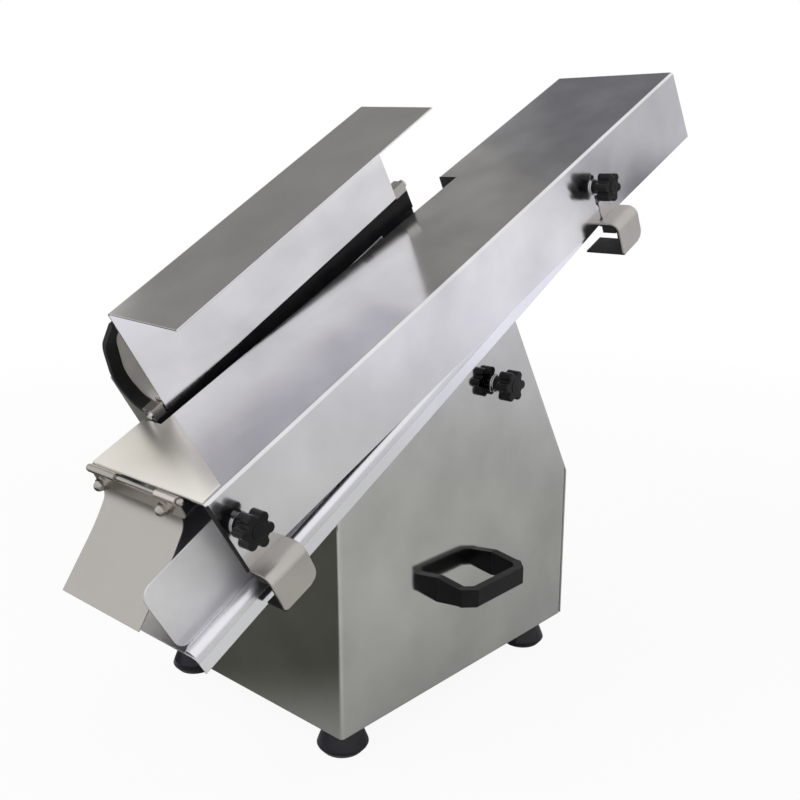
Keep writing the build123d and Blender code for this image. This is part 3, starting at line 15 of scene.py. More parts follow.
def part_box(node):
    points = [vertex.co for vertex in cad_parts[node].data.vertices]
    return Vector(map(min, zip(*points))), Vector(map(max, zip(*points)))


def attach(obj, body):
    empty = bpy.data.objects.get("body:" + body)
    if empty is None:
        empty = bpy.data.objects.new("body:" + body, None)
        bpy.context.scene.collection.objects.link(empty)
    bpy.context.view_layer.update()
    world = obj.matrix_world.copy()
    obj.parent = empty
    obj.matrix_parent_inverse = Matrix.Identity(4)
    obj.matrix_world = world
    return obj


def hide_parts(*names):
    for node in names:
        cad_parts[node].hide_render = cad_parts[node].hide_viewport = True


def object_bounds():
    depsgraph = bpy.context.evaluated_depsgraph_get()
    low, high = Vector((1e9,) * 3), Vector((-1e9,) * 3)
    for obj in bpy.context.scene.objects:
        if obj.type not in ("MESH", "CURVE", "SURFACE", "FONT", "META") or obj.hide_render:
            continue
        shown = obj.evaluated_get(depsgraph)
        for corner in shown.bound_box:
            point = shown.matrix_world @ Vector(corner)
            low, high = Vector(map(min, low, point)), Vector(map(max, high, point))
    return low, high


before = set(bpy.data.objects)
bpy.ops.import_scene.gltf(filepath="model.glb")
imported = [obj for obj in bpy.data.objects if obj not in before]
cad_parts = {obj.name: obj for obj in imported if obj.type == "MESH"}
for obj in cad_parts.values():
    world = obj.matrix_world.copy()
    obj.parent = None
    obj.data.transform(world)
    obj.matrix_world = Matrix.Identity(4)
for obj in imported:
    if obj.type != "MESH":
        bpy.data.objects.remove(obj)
CAD_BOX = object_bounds()
LOG = logging.getLogger("bun_slicer")

Colour = tuple[float, float, float]
Point = tuple[float, float, float]
Pairs = tuple[tuple[float, float], ...]
Face = tuple[int, ...]
Material = bpy.types.Material
Socket = bpy.types.NodeSocket

MM = 0.001
NOISE_MIDDLE = (0.3, 0.7)
WAVE_CELLS = 7.0
WAVE_DEPTH = 6.0 * MM
EDGE_SAMPLES = 4
WELD = 0.001 * MM
PATTERN_CREASE = math.radians(50.0)
PIECE_CREASE = math.radians(35.0)
TAB_LIPS = {"tab_lower": 24.0 * MM, "tab_upper": 52.0 * MM}
KNOB_BODIES = {"knob_lower": "lower_knob", "knob_upper": "upper_knob", "knob_side": "side_knob"}


@dataclass(frozen=True)
class Slope:
    """Slanting plane of the tray or of the hood, from its lower end."""

    low: Point
    pitch: float

    def uphill(self) -> Vector:
        """Direction up along the plane."""
        return Vector((0.0, math.cos(self.pitch), math.sin(self.pitch)))

    def upward(self) -> Vector:
        """Direction square to the plane."""
        return Vector((0.0, -math.sin(self.pitch), math.cos(self.pitch)))

    def at(self, x: float, along: float, above: float) -> Vector:
        """Place given across the machine, along the plane and above it, in metres."""
        return Vector(self.low) + Vector((x, 0.0, 0.0)) + self.uphill() * along + self.upward() * above


TRAY_PLANE = Slope((0.0, -0.39082, 0.1965), math.radians(30.0))
HOOD_PLANE = Slope((0.0, -0.37554, 0.33003), math.radians(26.75))


class Grain(Enum):
    """Which way the rolling grain of a sheet runs."""

    LEVEL = Euler()
    CHUTE = Euler((-TRAY_PLANE.pitch, 0.0, 0.0))
    HOOD = Euler((-HOOD_PLANE.pitch, 0.0, 0.0))

    def across(self) -> Point:
        """Direction square to the grain, on a folded sheet's top and on its right-hand wall."""
        return (1.0, math.sin(-self.value.x), -math.cos(self.value.x))


class NodeTree:
    """Nodes of one tree, with short ways to add and join them."""

    def __init__(self, tree: bpy.types.NodeTree, prefix: str) -> None:
        """Take up a tree.

        Args:
            tree: The tree.
            prefix: Start of the names of its node types.
        """
        self.nodes, self.links, self.prefix = tree.nodes, tree.links, prefix

    def fill(self, node: bpy.types.Node, **sockets: object) -> None:
        """Fill input sockets of a node.

        Args:
            node: The node.
            sockets: Socket names, with _ for a space, and a value or the socket to join to each.
        """
        for name, value in sockets.items():
            socket = node.inputs[name.replace("_", " ")]
            if isinstance(value, Socket):
                self.links.new(value, socket)
            else:
                socket.default_value = value

    def add(self, kind: str, **sockets: object) -> bpy.types.Node:
        """Add a node.

        Args:
            kind: Node type without the prefix.
            sockets: What fills its sockets, as for fill.

        Returns:
            The new node.
        """
        node = self.nodes.new(self.prefix + kind)
        self.fill(node, **sockets)
        return node

    def join(self, operation: str, first: Socket, second: Socket) -> Socket:
        """Join two values by a Math node.

        Args:
            operation: Math node's operation.
            first: First value.
            second: Second value.

        Returns:
            The value socket.
        """
        node = self.nodes.new("ShaderNodeMath")
        node.operation = operation
        self.links.new(first, node.inputs[0])
        self.links.new(second, node.inputs[1])
        return node.outputs[0]


class ShaderTree(NodeTree):
    """Shader nodes of one new material."""

    def __init__(self, name: str) -> None:
        """Start a material that has a Principled surface.

        Args:
            name: Name of the material.
        """
        self.material = bpy.data.materials.new(name)
        self.material.use_nodes = True
        super().__init__(self.material.node_tree, "ShaderNode")
        self.surface = self.nodes["Principled BSDF"]

    def finish(self, **sockets: object) -> Material:
        """Fill the surface's sockets and give the material."""
        self.fill(self.surface, **sockets)
        return self.material

    def place(self, turn: Euler = Euler(), stretch: Point = (1.0, 1.0, 1.0)) -> Socket:
        """Object coordinates, turned and stretched.

        Args:
            turn: Turn that brings the pattern's axes to the object's.
            stretch: Scale along each axis after the turn.

        Returns:
            The vector socket.
        """
        coords = self.add("TexCoord").outputs["Object"]
        turned = self.add("Mapping", Vector=coords, Rotation=turn)
        return self.add("Mapping", Vector=turned.outputs[0], Scale=stretch).outputs[0]

    def reach(self) -> Socket:
        """Distance from the object's origin, in the object's own units."""
        length = self.add("VectorMath", Vector=self.add("TexCoord").outputs["Object"])
        length.operation = "LENGTH"
        return length.outputs["Value"]

    def blend(self, share: Socket, first: Socket, second: Socket) -> Socket:
        """Mix two shaders.

        Args:
            share: Share of the second shader.
            first: First shader.
            second: Second shader.

        Returns:
            The shader socket.
        """
        mix = self.add("MixShader", Fac=share)
        self.links.new(first, mix.inputs[1])
        self.links.new(second, mix.inputs[2])
        return mix.outputs[0]

    def show(self, shader: Socket) -> None:
        """Make a shader the material's surface."""
        self.links.new(shader, self.nodes["Material Output"].inputs["Surface"])

    def noise(self, vector: Socket, scale: float, detail: float) -> Socket:
        """Noise from 0 to 1.

        Args:
            vector: Coordinates to read.
            scale: Cells per metre.
            detail: Octaves.

        Returns:
            The value socket.
        """
        return self.add("TexNoise", Vector=vector, Scale=scale, Detail=detail).outputs[0]

    def spread(self, value: Socket, low: float, high: float) -> Socket:
        """Map the middle of a noise's range to two limits.

        Args:
            value: Noise socket.
            low: Value given at the noise's low end.
            high: Value given at its high end.

        Returns:
            The value socket.
        """
        start, end = NOISE_MIDDLE
        return self.add("MapRange", Value=value, From_Min=start, From_Max=end, To_Min=low, To_Max=high).outputs[0]

    def tints(self, value: Socket, low: Colour, high: Colour) -> Socket:
        """Colour between two tints.

        Args:
            value: Noise socket.
            low: Colour at the noise's low end.
            high: Colour at its high end.

        Returns:
            The colour socket.
        """
        ramp = self.add("ValToRGB", Fac=value)
        first, last = ramp.color_ramp.elements
        first.position, last.position = NOISE_MIDDLE
        first.color, last.color = (*low, 1.0), (*high, 1.0)
        return ramp.outputs[0]

    def swell(self, vector: Socket, strength: float) -> Socket:
        """Normal of the slow waves that thin sheet has between its bends.

        Args:
            vector: Coordinates to read.
            strength: Strength of the waves.

        Returns:
            The normal socket.
        """
        waves = self.noise(vector, WAVE_CELLS, detail=1.0)
        return self.add("Bump", Height=waves, Strength=strength, Distance=WAVE_DEPTH).outputs[0]

    def relief(
        self, height: Socket, strength: float, depth: float, edge: float = 0.0, under: Socket | None = None
    ) -> Socket:
        """Normal with a bump, and with edges that look eased.

        Args:
            height: Value socket that gives the bump's height.
            strength: Strength of the bump.
            depth: Bump's distance in metres.
            edge: Radius in metres of the eased edges, or 0.
            under: Normal that the bump lies on where no edge is eased.

        Returns:
            The normal socket.
        """
        bump = self.add("Bump", Height=height, Strength=strength, Distance=depth)
        if under:
            self.links.new(under, bump.inputs["Normal"])
        if edge:
            eased = self.add("Bevel", Radius=edge)
            eased.samples = EDGE_SAMPLES
            if under:
                self.links.new(eased.outputs[0], under.node.inputs["Normal"])
            else:
                self.links.new(eased.outputs[0], bump.inputs["Normal"])
        return bump.outputs[0]


class Finish(Protocol):
    """Anything that can make a material."""

    def material(self) -> Material:
        """Make the finish's material."""


@dataclass(frozen=True)
class SheetSteel:
    """Polished stainless sheet: a fine grain one way, faint handling marks and eased edges.

    A sheet with a painted reflection has a pale matt colour painted on the faces that look to the right; it stands in
    for the pale surroundings that the steel reflects there.
    """

    name: str
    pale: Colour = (0.70, 0.695, 0.69)
    dull: Colour = (0.66, 0.655, 0.65)
    smooth: float = 0.05
    rough: float = 0.09
    grain: Grain = Grain.LEVEL
    edge: float = 0.8 * MM
    grain_bump: float = 0.008
    waves: float = 0.05
    brushed: float = 0.0
    # Painted reflection on the faces that look to the right: its colour, the normal's right-hand share where it is
    # full, and the metal left under it.
    painted_reflection: Colour | None = None
    painted_reflection_from: float = 0.1
    painted_reflection_metal: float = 0.1
    grain_cells: Point = (900.0, 14.0, 900.0)
    grain_rough: float = 0.012
    grain_depth: float = 0.2 * MM
    cloud_cells: float = 11.0

    def material(self) -> Material:
        """Make the sheet's material.

        Returns:
            The material.
        """
        tree = ShaderTree(self.name)
        grain = tree.noise(tree.place(self.grain.value, self.grain_cells), 1.0, detail=4.0)
        flat = tree.place(self.grain.value)
        clouds = tree.noise(flat, self.cloud_cells, detail=5.0)
        streaks = tree.spread(grain, -self.grain_rough, self.grain_rough)
        roughness = tree.join("ADD", tree.spread(clouds, self.smooth, self.rough), streaks)
        if self.brushed:
            x, y, z = self.grain.across()
            tree.finish(Anisotropic=self.brushed, Tangent=tree.add("CombineXYZ", X=x, Y=y, Z=z).outputs[0])
        colour, steel_share = tree.tints(clouds, self.dull, self.pale), 1.0
        # Painted reflection: faces that look to the right turn to a pale colour with almost no metal.
        if self.painted_reflection:
            right = tree.add("SeparateXYZ", Vector=tree.add("NewGeometry").outputs["Normal"]).outputs["X"]
            share = tree.add("MapRange", Value=right, From_Max=self.painted_reflection_from, To_Min=1.0, To_Max=self.painted_reflection_metal)
            steel_share = share.outputs[0]
            colour = tree.tints(steel_share, self.painted_reflection, self.pale)
        return tree.finish(
            Base_Color=colour,
            Metallic=steel_share,
            Roughness=roughness,
            Normal=tree.relief(grain, self.grain_bump, self.grain_depth, self.edge, tree.swell(flat, self.waves)),
        )


@dataclass(frozen=True)
class TurnedSteel:
    """Bright machined steel of screws, studs, blade and spindle."""

    name: str
    colour: Colour = (0.68, 0.68, 0.69)
    worn: Colour = (0.52, 0.52, 0.53)
    smooth: float = 0.14
    rough: float = 0.3
    edge: float = 0.3 * MM
    mark_cells: float = 320.0
    mark_bump: float = 0.06
    mark_depth: float = 0.1 * MM
    stain_cells: float = 60.0

    def material(self) -> Material:
        """Make the steel's material.

        Returns:
            The material.
        """
        tree = ShaderTree(self.name)
        flat = tree.place()
        marks = tree.noise(flat, self.mark_cells, detail=4.0)
        stains = tree.noise(flat, self.stain_cells, detail=4.0)
        return tree.finish(
            Base_Color=tree.tints(stains, self.worn, self.colour),
            Metallic=1.0,
            Roughness=tree.spread(marks, self.smooth, self.rough),
            Normal=tree.relief(marks, self.mark_bump, self.mark_depth, self.edge),
        )


@dataclass(frozen=True)
class Moulding:
    """Moulded plastic or rubber: a fine skin texture, a little dust and eased edges."""

    name: str
    colour: Colour
    patch: Colour
    smooth: float
    rough: float
    skin: float = 0.1
    skin_cells: float = 1400.0
    skin_detail: float = 2.0
    skin_depth: float = 0.15 * MM
    patch_cells: float = 45.0
    patch_detail: float = 5.0
    edge: float = 0.6 * MM
    metallic: float = 0.0
    shine: float = 0.25

    def material(self) -> Material:
        """Make the moulding's material.

        Returns:
            The material.
        """
        tree = ShaderTree(self.name)
        flat = tree.place()
        skin = tree.noise(flat, self.skin_cells, self.skin_detail)
        patches = tree.noise(flat, self.patch_cells, self.patch_detail)
        return tree.finish(
            Base_Color=tree.tints(patches, self.colour, self.patch),
            Metallic=self.metallic,
            Roughness=tree.spread(patches, self.smooth, self.rough),
            Specular_IOR_Level=self.shine,
            Normal=tree.relief(skin, self.skin, self.skin_depth, self.edge),
        )


@dataclass(frozen=True)
class Coated(Moulding):
    """Painted or cast metal: orange peel or a sandy skin over a slightly uneven colour."""

    skin_detail: float = 3.0
    skin_depth: float = 0.3 * MM
    patch_cells: float = 30.0
    patch_detail: float = 4.0
    shine: float = 0.5


CASE_STEEL = SheetSteel("case_steel", (0.63, 0.63, 0.618), (0.5, 0.502, 0.49), 0.05, 0.11, edge=2.0 * MM, waves=0.09)
TRAY_STEEL = SheetSteel("tray_steel", (0.93, 0.93, 0.98), (0.86, 0.86, 0.91), 0.12, 0.18, Grain.CHUTE, brushed=0.7)
CHUTE_STEEL = SheetSteel("chute_steel", (0.83, 0.823, 0.84), (0.73, 0.724, 0.74), 0.09, 0.15, Grain.CHUTE, brushed=0.8)
HOOD_STEEL = SheetSteel(
    "hood_steel", (0.83, 0.823, 0.842), (0.69, 0.684, 0.7), 0.11, 0.17, Grain.HOOD,
    edge=0.0, grain_bump=0.003, waves=0.1, brushed=0.85,
)
FLAP_STEEL = SheetSteel("flap_steel", (0.51, 0.492, 0.462), (0.45, 0.435, 0.405), 0.36, 0.48)
HINGE_STEEL = SheetSteel("hinge_steel", (0.9, 0.87, 0.82), (0.82, 0.79, 0.745), 0.36, 0.48)
KNUCKLE_STEEL = SheetSteel("knuckle_steel", (0.46, 0.43, 0.4), (0.34, 0.315, 0.29), 0.14, 0.26)
STRIP_STEEL = SheetSteel("strip_steel", (0.7, 0.635, 0.61), (0.6, 0.545, 0.52), 0.26, 0.38)
# Painted reflection: the guard's inside, which looks to the right, is painted pale to stand in for bright surroundings
# reflected in it.
REAR_GUARD_STEEL = SheetSteel(
    "rear_guard_steel", (0.66, 0.655, 0.645), (0.58, 0.575, 0.565), 0.16, 0.24, Grain.CHUTE, painted_reflection=(0.94, 0.91, 0.87),
)
TAB_STEEL = SheetSteel("tab_steel", (0.56, 0.535, 0.505), (0.42, 0.398, 0.372), 0.3, 0.46)
PLATE_STEEL = SheetSteel("plate_steel", (0.86, 0.855, 0.87), (0.66, 0.655, 0.67), 0.45, 0.6, Grain.CHUTE)
RIM_STEEL = SheetSteel("rim_steel", (0.84, 0.84, 0.88), (0.75, 0.75, 0.79), 0.26, 0.36, Grain.CHUTE)
BRIGHT_STEEL = TurnedSteel("bright_steel")
DULL_STEEL = TurnedSteel("dull_steel", (0.5, 0.475, 0.45), (0.34, 0.32, 0.3), 0.1, 0.2)
KNOB_BLACK = Moulding("knob_black", (0.005, 0.005, 0.006), (0.01, 0.01, 0.011), 0.14, 0.26, skin=0.04, shine=0.16)
SATIN_BLACK = Moulding("satin_black", (0.005, 0.005, 0.006), (0.01, 0.01, 0.011), 0.28, 0.42, shine=0.14)
# Painted highlight: the faint blue in the feet's black stands in for the bluish highlight that runs down them.
FOOT_BLACK = Moulding("foot_black", (0.007, 0.007, 0.011), (0.013, 0.013, 0.018), 0.2, 0.32, skin=0.03, shine=0.3)
RUBBER_BLACK = Moulding("rubber_black", (0.009, 0.009, 0.01), (0.022, 0.022, 0.022), 0.5, 0.7)
PULLEY_METAL = TurnedSteel("pulley_metal", (0.62, 0.63, 0.65), (0.5, 0.51, 0.53), 0.25, 0.4)
CAST_IRON = Coated("cast_iron", (0.14, 0.145, 0.15), (0.2, 0.205, 0.21), 0.5, 0.68, 0.3, 900.0, metallic=0.6)
MOTOR_PAINT = Coated("motor_paint", (0.12, 0.135, 0.16), (0.16, 0.18, 0.21), 0.34, 0.48, 0.12, 500.0)

DRESS: dict[Finish, tuple[str, ...]] = {
    CASE_STEEL: ("casing_shell", "rear_panel", "base_plate", "deck_plate", "blade_housing"),
    TRAY_STEEL: ("tray",),
    CHUTE_STEEL: ("front_guard",),
    PLATE_STEEL: ("guide_wall_right",),
    REAR_GUARD_STEEL: ("rear_guard",),
    HOOD_STEEL: ("hood_end", "hood", "hood_head"),
    FLAP_STEEL: ("exit_flap",),
    STRIP_STEEL: ("flap_strip",),
    KNUCKLE_STEEL: ("hinge_leaf",),
    HINGE_STEEL: (),
    RIM_STEEL: (),
    DULL_STEEL: ("hinge_pin", "flap_nuts"),
    TAB_STEEL: ("tab_lower", "tab_upper", "guard_pivot_blocks"),
    BRIGHT_STEEL: (
        "rear_panel_screws", "foot_nuts", "handle_screws", "clamp_studs", "clamp_washers",
        "guard_pivot_screws", "bearing_lower", "bearing_upper", "bearing_bolts", "spindle",
        "blade", "blade_flange", "blade_clamp", "blade_nut", "motor_shaft", "tension_stud", "motor_bolts",
    ),
    KNOB_BLACK: ("knob_lower", "knob_upper", "knob_side", "switch_body", "switch_rocker"),
    SATIN_BLACK: ("carry_handle_right", "carry_handle_left", "guard_rail", "cable_gland", "gland_nut"),
    FOOT_BLACK: ("feet",),
    RUBBER_BLACK: ("edge_trim_lower", "edge_trim_upper", "drive_belt", "tab_pads"),
    PULLEY_METAL: ("spindle_pulley", "motor_pulley"),
    CAST_IRON: ("bearing_housing",),
    MOTOR_PAINT: ("motor_body", "motor_mount"),
}


def dress_cad_nodes() -> dict[Finish, Material]:
    """Give every CAD node its finish.

    Returns:
        The material of each finish.
    """
    made = {finish: finish.material() for finish in DRESS}
    for finish, nodes in DRESS.items():
        material = made[finish]
        for node in nodes:
            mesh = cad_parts[node].data
            mesh.materials.clear()
            mesh.materials.append(material)
            LOG.info("%s takes %s", node, material.name)
    return made


class PatternTree(NodeTree):
    """Geometry Nodes tree of one repeated or swept detail, with named inputs for its sizes."""

    def __init__(self, name: str) -> None:
        """Start an empty tree.

        Args:
            name: Name of the tree and of the piece that it makes.
        """
        self.name = name
        self.group = bpy.data.node_groups.new(name, "GeometryNodeTree")
        super().__init__(self.group, "GeometryNode")
        self.group.interface.new_socket("Geometry", in_out="OUTPUT", socket_type="NodeSocketGeometry")
        self.entry = self.nodes.new("NodeGroupInput")
        self.values: dict[str, float] = {}

    def size(self, name: str, value: float) -> Socket:
        """Add a named input.

        Args:
            name: Input's name.
            value: Value that the modifier sets.

        Returns:
            The input's socket inside the tree.
        """
        item = self.group.interface.new_socket(name, in_out="INPUT", socket_type="NodeSocketFloat")
        self.values[item.identifier] = value
        return self.entry.outputs[name]

    def gather(self, parts: list[Socket]) -> Socket:
        """Join several geometries.

        Args:
            parts: Geometry sockets.

        Returns:
            The joined geometry.
        """
        joined = self.add("JoinGeometry")
        for part in parts:
            self.links.new(part, joined.inputs[0])
        return joined.outputs[0]

    def corners(self, across: float, along: float) -> Socket:
        """Four points, at the corners of a level rectangle.

        Args:
            across: Spacing across.
            along: Spacing along.

        Returns:
            The points.
        """
        spacing = {"Size_X": self.size("Spacing across", across), "Size_Y": self.size("Spacing along", along)}
        return self.add("MeshGrid", Vertices_X=2, Vertices_Y=2, **spacing).outputs[0]

    def bake(
        self, geometry: Socket, material: Material, body: str, slot: str, replaced: tuple[str, ...] = ()
    ) -> None:
        """Turn the tree's result into a plain mesh that rides on a body.

        Args:
            geometry: Result of the tree.
            material: Material of the piece.
            body: Body that it moves with.
            slot: Record's material slot; not used.
            replaced: CAD nodes that it stands for.
        """
        whole = self.add("RealizeInstances", Geometry=geometry).outputs[0]
        dressed = self.add("SetMaterial", Geometry=whole, Material=material).outputs[0]
        self.links.new(dressed, self.nodes.new("NodeGroupOutput").inputs[0])
        piece = bpy.data.objects.new(self.name, bpy.data.meshes.new(self.name))
        bpy.context.scene.collection.objects.link(piece)
        modifier = piece.modifiers.new("pattern", "NODES")
        modifier.node_group = self.group
        for identifier, value in self.values.items():
            modifier[identifier] = value
        graph = bpy.context.evaluated_depsgraph_get()
        mesh = bpy.data.meshes.new_from_object(piece.evaluated_get(graph), depsgraph=graph)
        piece.modifiers.remove(modifier)
        mesh.set_sharp_from_angle(angle=PATTERN_CREASE)
        piece.data = mesh
        settle(piece, body, replaced)


def settle(piece: bpy.types.Object, body: str, replaced: tuple[str, ...] = ()) -> None:
    """Tie a finished piece to the frame.

    Args:
        piece: The piece.
        body: Body that it moves with.
        replaced: CAD nodes that it stands for.
    """
    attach(piece, body)
    if replaced:
        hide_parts(*replaced)
    LOG.info("%s rides on %s with %d faces", piece.name, body, len(piece.data.polygons))


def smooth_piece(
    name: str, points: list[Vector], faces: list[Face], material: Material, ease: float = 0.0
) -> bpy.types.Object:
    """Make a mesh object whose faces shade smooth up to its sharp edges.

    Args:
        name: Piece's name.
        points: Vertices in the machine's frame.
        faces: Faces, which are turned outwards.
        material: Piece's material.
        ease: Radius of all its edges.

    Returns:
        The object.
    """
    mesh = bpy.data.meshes.new(name)
    mesh.from_pydata(points, [], faces)
    mesh.materials.append(material)
    shape = bmesh.new()
    shape.from_mesh(mesh)
    bmesh.ops.remove_doubles(shape, verts=shape.verts, dist=WELD)
    bmesh.ops.recalc_face_normals(shape, faces=shape.faces)
    if ease:
        bmesh.ops.bevel(shape, geom=shape.edges[:], offset=ease, segments=2, profile=0.5, affect="EDGES")
    shape.to_mesh(mesh)
    shape.free()
    mesh.shade_smooth()
    mesh.set_sharp_from_angle(angle=PIECE_CREASE)
    piece = bpy.data.objects.new(name, mesh)
    bpy.context.scene.collection.objects.link(piece)
    return piece


def tube_faces(rings: int, sides: int, base: int = 0, closed: bool = False) -> list[Face]:
    """Faces of a tube through rings of points.

    Args:
        rings: Number of rings.
        sides: Points in each ring.
        base: Number of the first ring's first point.
        closed: Whether the last ring joins the first. If not, each end gets a face.

    Returns:
        The faces.
    """
    faces: list[Face] = []
    for ring in range(rings if closed else rings - 1):
        here, beyond = base + ring * sides, base + (ring + 1) % rings * sides
        for side in range(sides):
            turned = (side + 1) % sides
            faces.append((here + side, here + turned, beyond + turned, beyond + side))
    if not closed:
        last = base + (rings - 1) * sides
        faces += [tuple(reversed(range(base, base + sides))), tuple(range(last, last + sides))]
    return faces


def centre(node: str) -> Vector:
    """Middle of a CAD node's box."""
    low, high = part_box(node)
    return (Vector(low) + Vector(high)) / 2


@dataclass
class LiftTab:
    """Saddle-shaped lift tab on the hood's wall, bent over in a wide round, with a rubber lining."""

    node: str
    lip: float
    length: float = 45.0 * MM
    drop: float = 42.0 * MM
    sheet: float = 2.0 * MM
    bend: float = 11.5 * MM
    corner: float = 12.0 * MM
    sharp: float = 3.0 * MM
    draw_in: float = 4.0 * MM
    lining: float = 2.2 * MM
    sunk: float = 0.1 * MM
    steps: int = 14

    def path(self, inset: float) -> list[tuple[float, float, float]]:
        """Section of one face, from the wall to the lower edge.

        Args:
            inset: Depth of the face below the tab's outside.

        Returns:
            Place out from the wall, height, and length left to the lower edge, for each step.
        """
        low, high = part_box(self.node)
        reach = high[0] - low[0] - self.draw_in
        radius = self.bend - inset
        arc = radius * math.pi / 2
        fall = self.drop - self.bend
        places = [(0.0, -inset, reach + arc + fall)]
        for step in range(self.steps + 1):
            turn = math.pi / 2 * step / self.steps
            places.append((
                reach - self.bend + radius * math.sin(turn),
                radius * math.cos(turn) - self.bend,
                fall + arc * (1 - step / self.steps),
            ))
        for step in range(1, self.steps + 1):
            left = fall * (1 - step / self.steps)
            places.append((reach - inset, -self.drop + left, left))
        return places

    @staticmethod
    def trim(radius: float, left: float) -> float:
        """Length that a corner of this radius takes off, this far from the lower edge."""
        return radius - math.sqrt(radius**2 - max(radius - left, 0.0) ** 2)

    def place(self, out: float, height: float, along: float) -> Vector:
        """Place given out from the wall, above the tab's top and along the hood."""
        low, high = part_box(self.node)
        start = Vector((low[0] + out, low[1], high[2] - self.length * math.sin(HOOD_PLANE.pitch)))
        return start + HOOD_PLANE.upward() * height + HOOD_PLANE.uphill() * along

    def layer(self, name: str, outer: float, inner: float, material: Material) -> bpy.types.Object:
        """One bent layer of the tab.

        Args:
            name: Layer's name.
            outer: Depth of its outside below the tab's outside.
            inner: Depth of its inside.
            material: Layer's material.

        Returns:
            The layer.
        """
        points: list[Vector] = []
        for outside, inside in zip(self.path(outer), self.path(inner)):
            for (out, height, left), far in ((outside, False), (outside, True), (inside, True), (inside, False)):
                along = self.length - self.trim(self.corner, left) if far else self.trim(self.sharp, left)
                points.append(self.place(out, height, along))
        faces = tube_faces(len(points) // 4, 4)
        return smooth_piece(name, points, faces, material)

    def build(self, steel: Material, rubber: Material) -> None:
        """Make the tab, which stands for its CAD node, and its lining.

        Args:
            steel: Tab's material.
            rubber: Lining's material.
        """
        settle(self.layer(self.node + "_saddle", 0.0, self.sheet, steel), "hood", (self.node,))
        lining = self.layer(self.node + "_lining", self.sheet - self.sunk, self.sheet + self.lining, rubber)
        settle(lining, "hood")
        low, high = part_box(self.node)
        outside = high[0] - low[0] - self.draw_in - self.sunk
        section = ((outside - self.lip, 0.0), (outside, 0.0), (outside, self.sheet), (outside - self.lip, self.sheet))
        ends = (self.sunk, self.length - self.corner)
        points = [self.place(out, up - self.drop, along) for along in ends for out, up in section]
        # Painted shade: the bottom lip takes the black rubber, whose darkness stands in for the shade inside the tab's
        # closed underside.
        settle(smooth_piece(self.node + "_lip", points, tube_faces(2, len(section)), rubber), "hood")


@dataclass
class TrayRim:
    """Swelled rim along the tray's right edge that rounds over into its flange."""

    ramp: float = 12.0 * MM
    round_over: float = 7.0 * MM
    height: float = 7.5 * MM
    start: float = 0.5 * MM
    end: float = 889.0 * MM
    proud: float = 0.1 * MM
    sunk: float = 0.4 * MM
    cover: float = 6.0 * MM
    steps: int = 20

    def build(self, material: Material) -> None:
        """Sweep the rim.

        Args:
            material: Rim's material.
        """
        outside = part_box("tray")[1][0] + self.proud
        crest = outside - self.round_over
        section = []
        for step in range(self.steps + 1):
            share = step / self.steps
            rise = self.height * (1 - math.cos(math.pi * share)) / 2
            section.append((crest - self.ramp * (1 - share), rise - self.sunk))
        for step in range(1, self.steps + 1):
            turn = math.pi / 2 * step / self.steps
            section.append((crest + self.round_over * math.sin(turn), self.height * math.cos(turn) - self.sunk))
        section += [(outside, -self.cover), (outside - self.sunk, -self.cover), (crest, -self.cover / 2)]
        points = [TRAY_PLANE.at(x, along, up) for along in (self.start, self.end) for x, up in section]
        piece = smooth_piece("tray_rim", points, tube_faces(2, len(section)), material)
        settle(piece, "frame")


@dataclass(frozen=True)
class Prism:
    """Small prism on a slanting plane, in millimetres.

    Its outline lies on the plane, as places across and along, or stands on it, as places along and above.
    """

    name: str
    plane: Slope
    lies: bool
    outline: Pairs
    ends: tuple[Point, Point]
    ease: float
    finish: Finish
    body: str
    slot: str

    def build(self, material: Material) -> None:
        """Make the prism.

        Args:
            material: Prism's material.
        """
        corners = [(a, b, 0.0) if self.lies else (0.0, a, b) for a, b in self.outline]
        points = [
            self.plane.at(*((shift + place) * MM for shift, place in zip(end, corner)))
            for end in self.ends for corner in corners
        ]
        piece = smooth_piece(self.name, points, tube_faces(2, len(corners)), material, self.ease * MM)
        settle(piece, self.body)


PRISMS = (
    # Matt plate on the hood's lower end that carries the flap's hinge
    Prism(
        "hinge_plate", HOOD_PLANE, lies=True,
        outline=((-4.5, 1.0), (162.0, 1.0), (160.0, 24.0), (25.0, 81.0), (23.5, 65.5), (-4.5, 65.5)),
        ends=((0.0, 0.0, -0.2), (0.0, 0.0, 0.8)), ease=0.3, finish=HINGE_STEEL, body="hood", slot="stainless",
    ),
    # Rubber strip on the edge of the hood's upper length, behind the guard
    Prism(
        "notch_seal", HOOD_PLANE, lies=False,
        outline=((553.6, -16.0), (560.0, -16.0), (560.0, -1.6), (554.9, -1.6), (554.9, 0.1), (553.6, 0.1)),
        ends=((-3.8, 0.0, 0.0), (22.3, 0.0, 0.0)), ease=0.3, finish=RUBBER_BLACK, body="hood", slot="rubber",
    ),
    # Thin black strip along the lower end of the hood's wall
    Prism(
        "edge_seal", HOOD_PLANE, lies=True,
        outline=((164.6, -1.6), (167.3, -1.6), (167.3, 1.6), (164.6, 1.6)),
        ends=((0.0, 0.9, -2.0), (0.0, 5.7, -83.6)), ease=0.6, finish=RUBBER_BLACK, body="hood", slot="rubber",
    ),
    # Gusset under the upper end of the guard's rail
    Prism(
        "rail_gusset", TRAY_PLANE, lies=False,
        outline=((502.5, 80.0), (502.5, 46.0), (509.0, 46.0), (561.0, 70.0), (561.0, 80.0)),
        ends=((-4.5, 0.0, 0.0), (8.8, 0.0, 0.0)), ease=1.0, finish=SATIN_BLACK, body="frame", slot="satin_black",
    ),
)


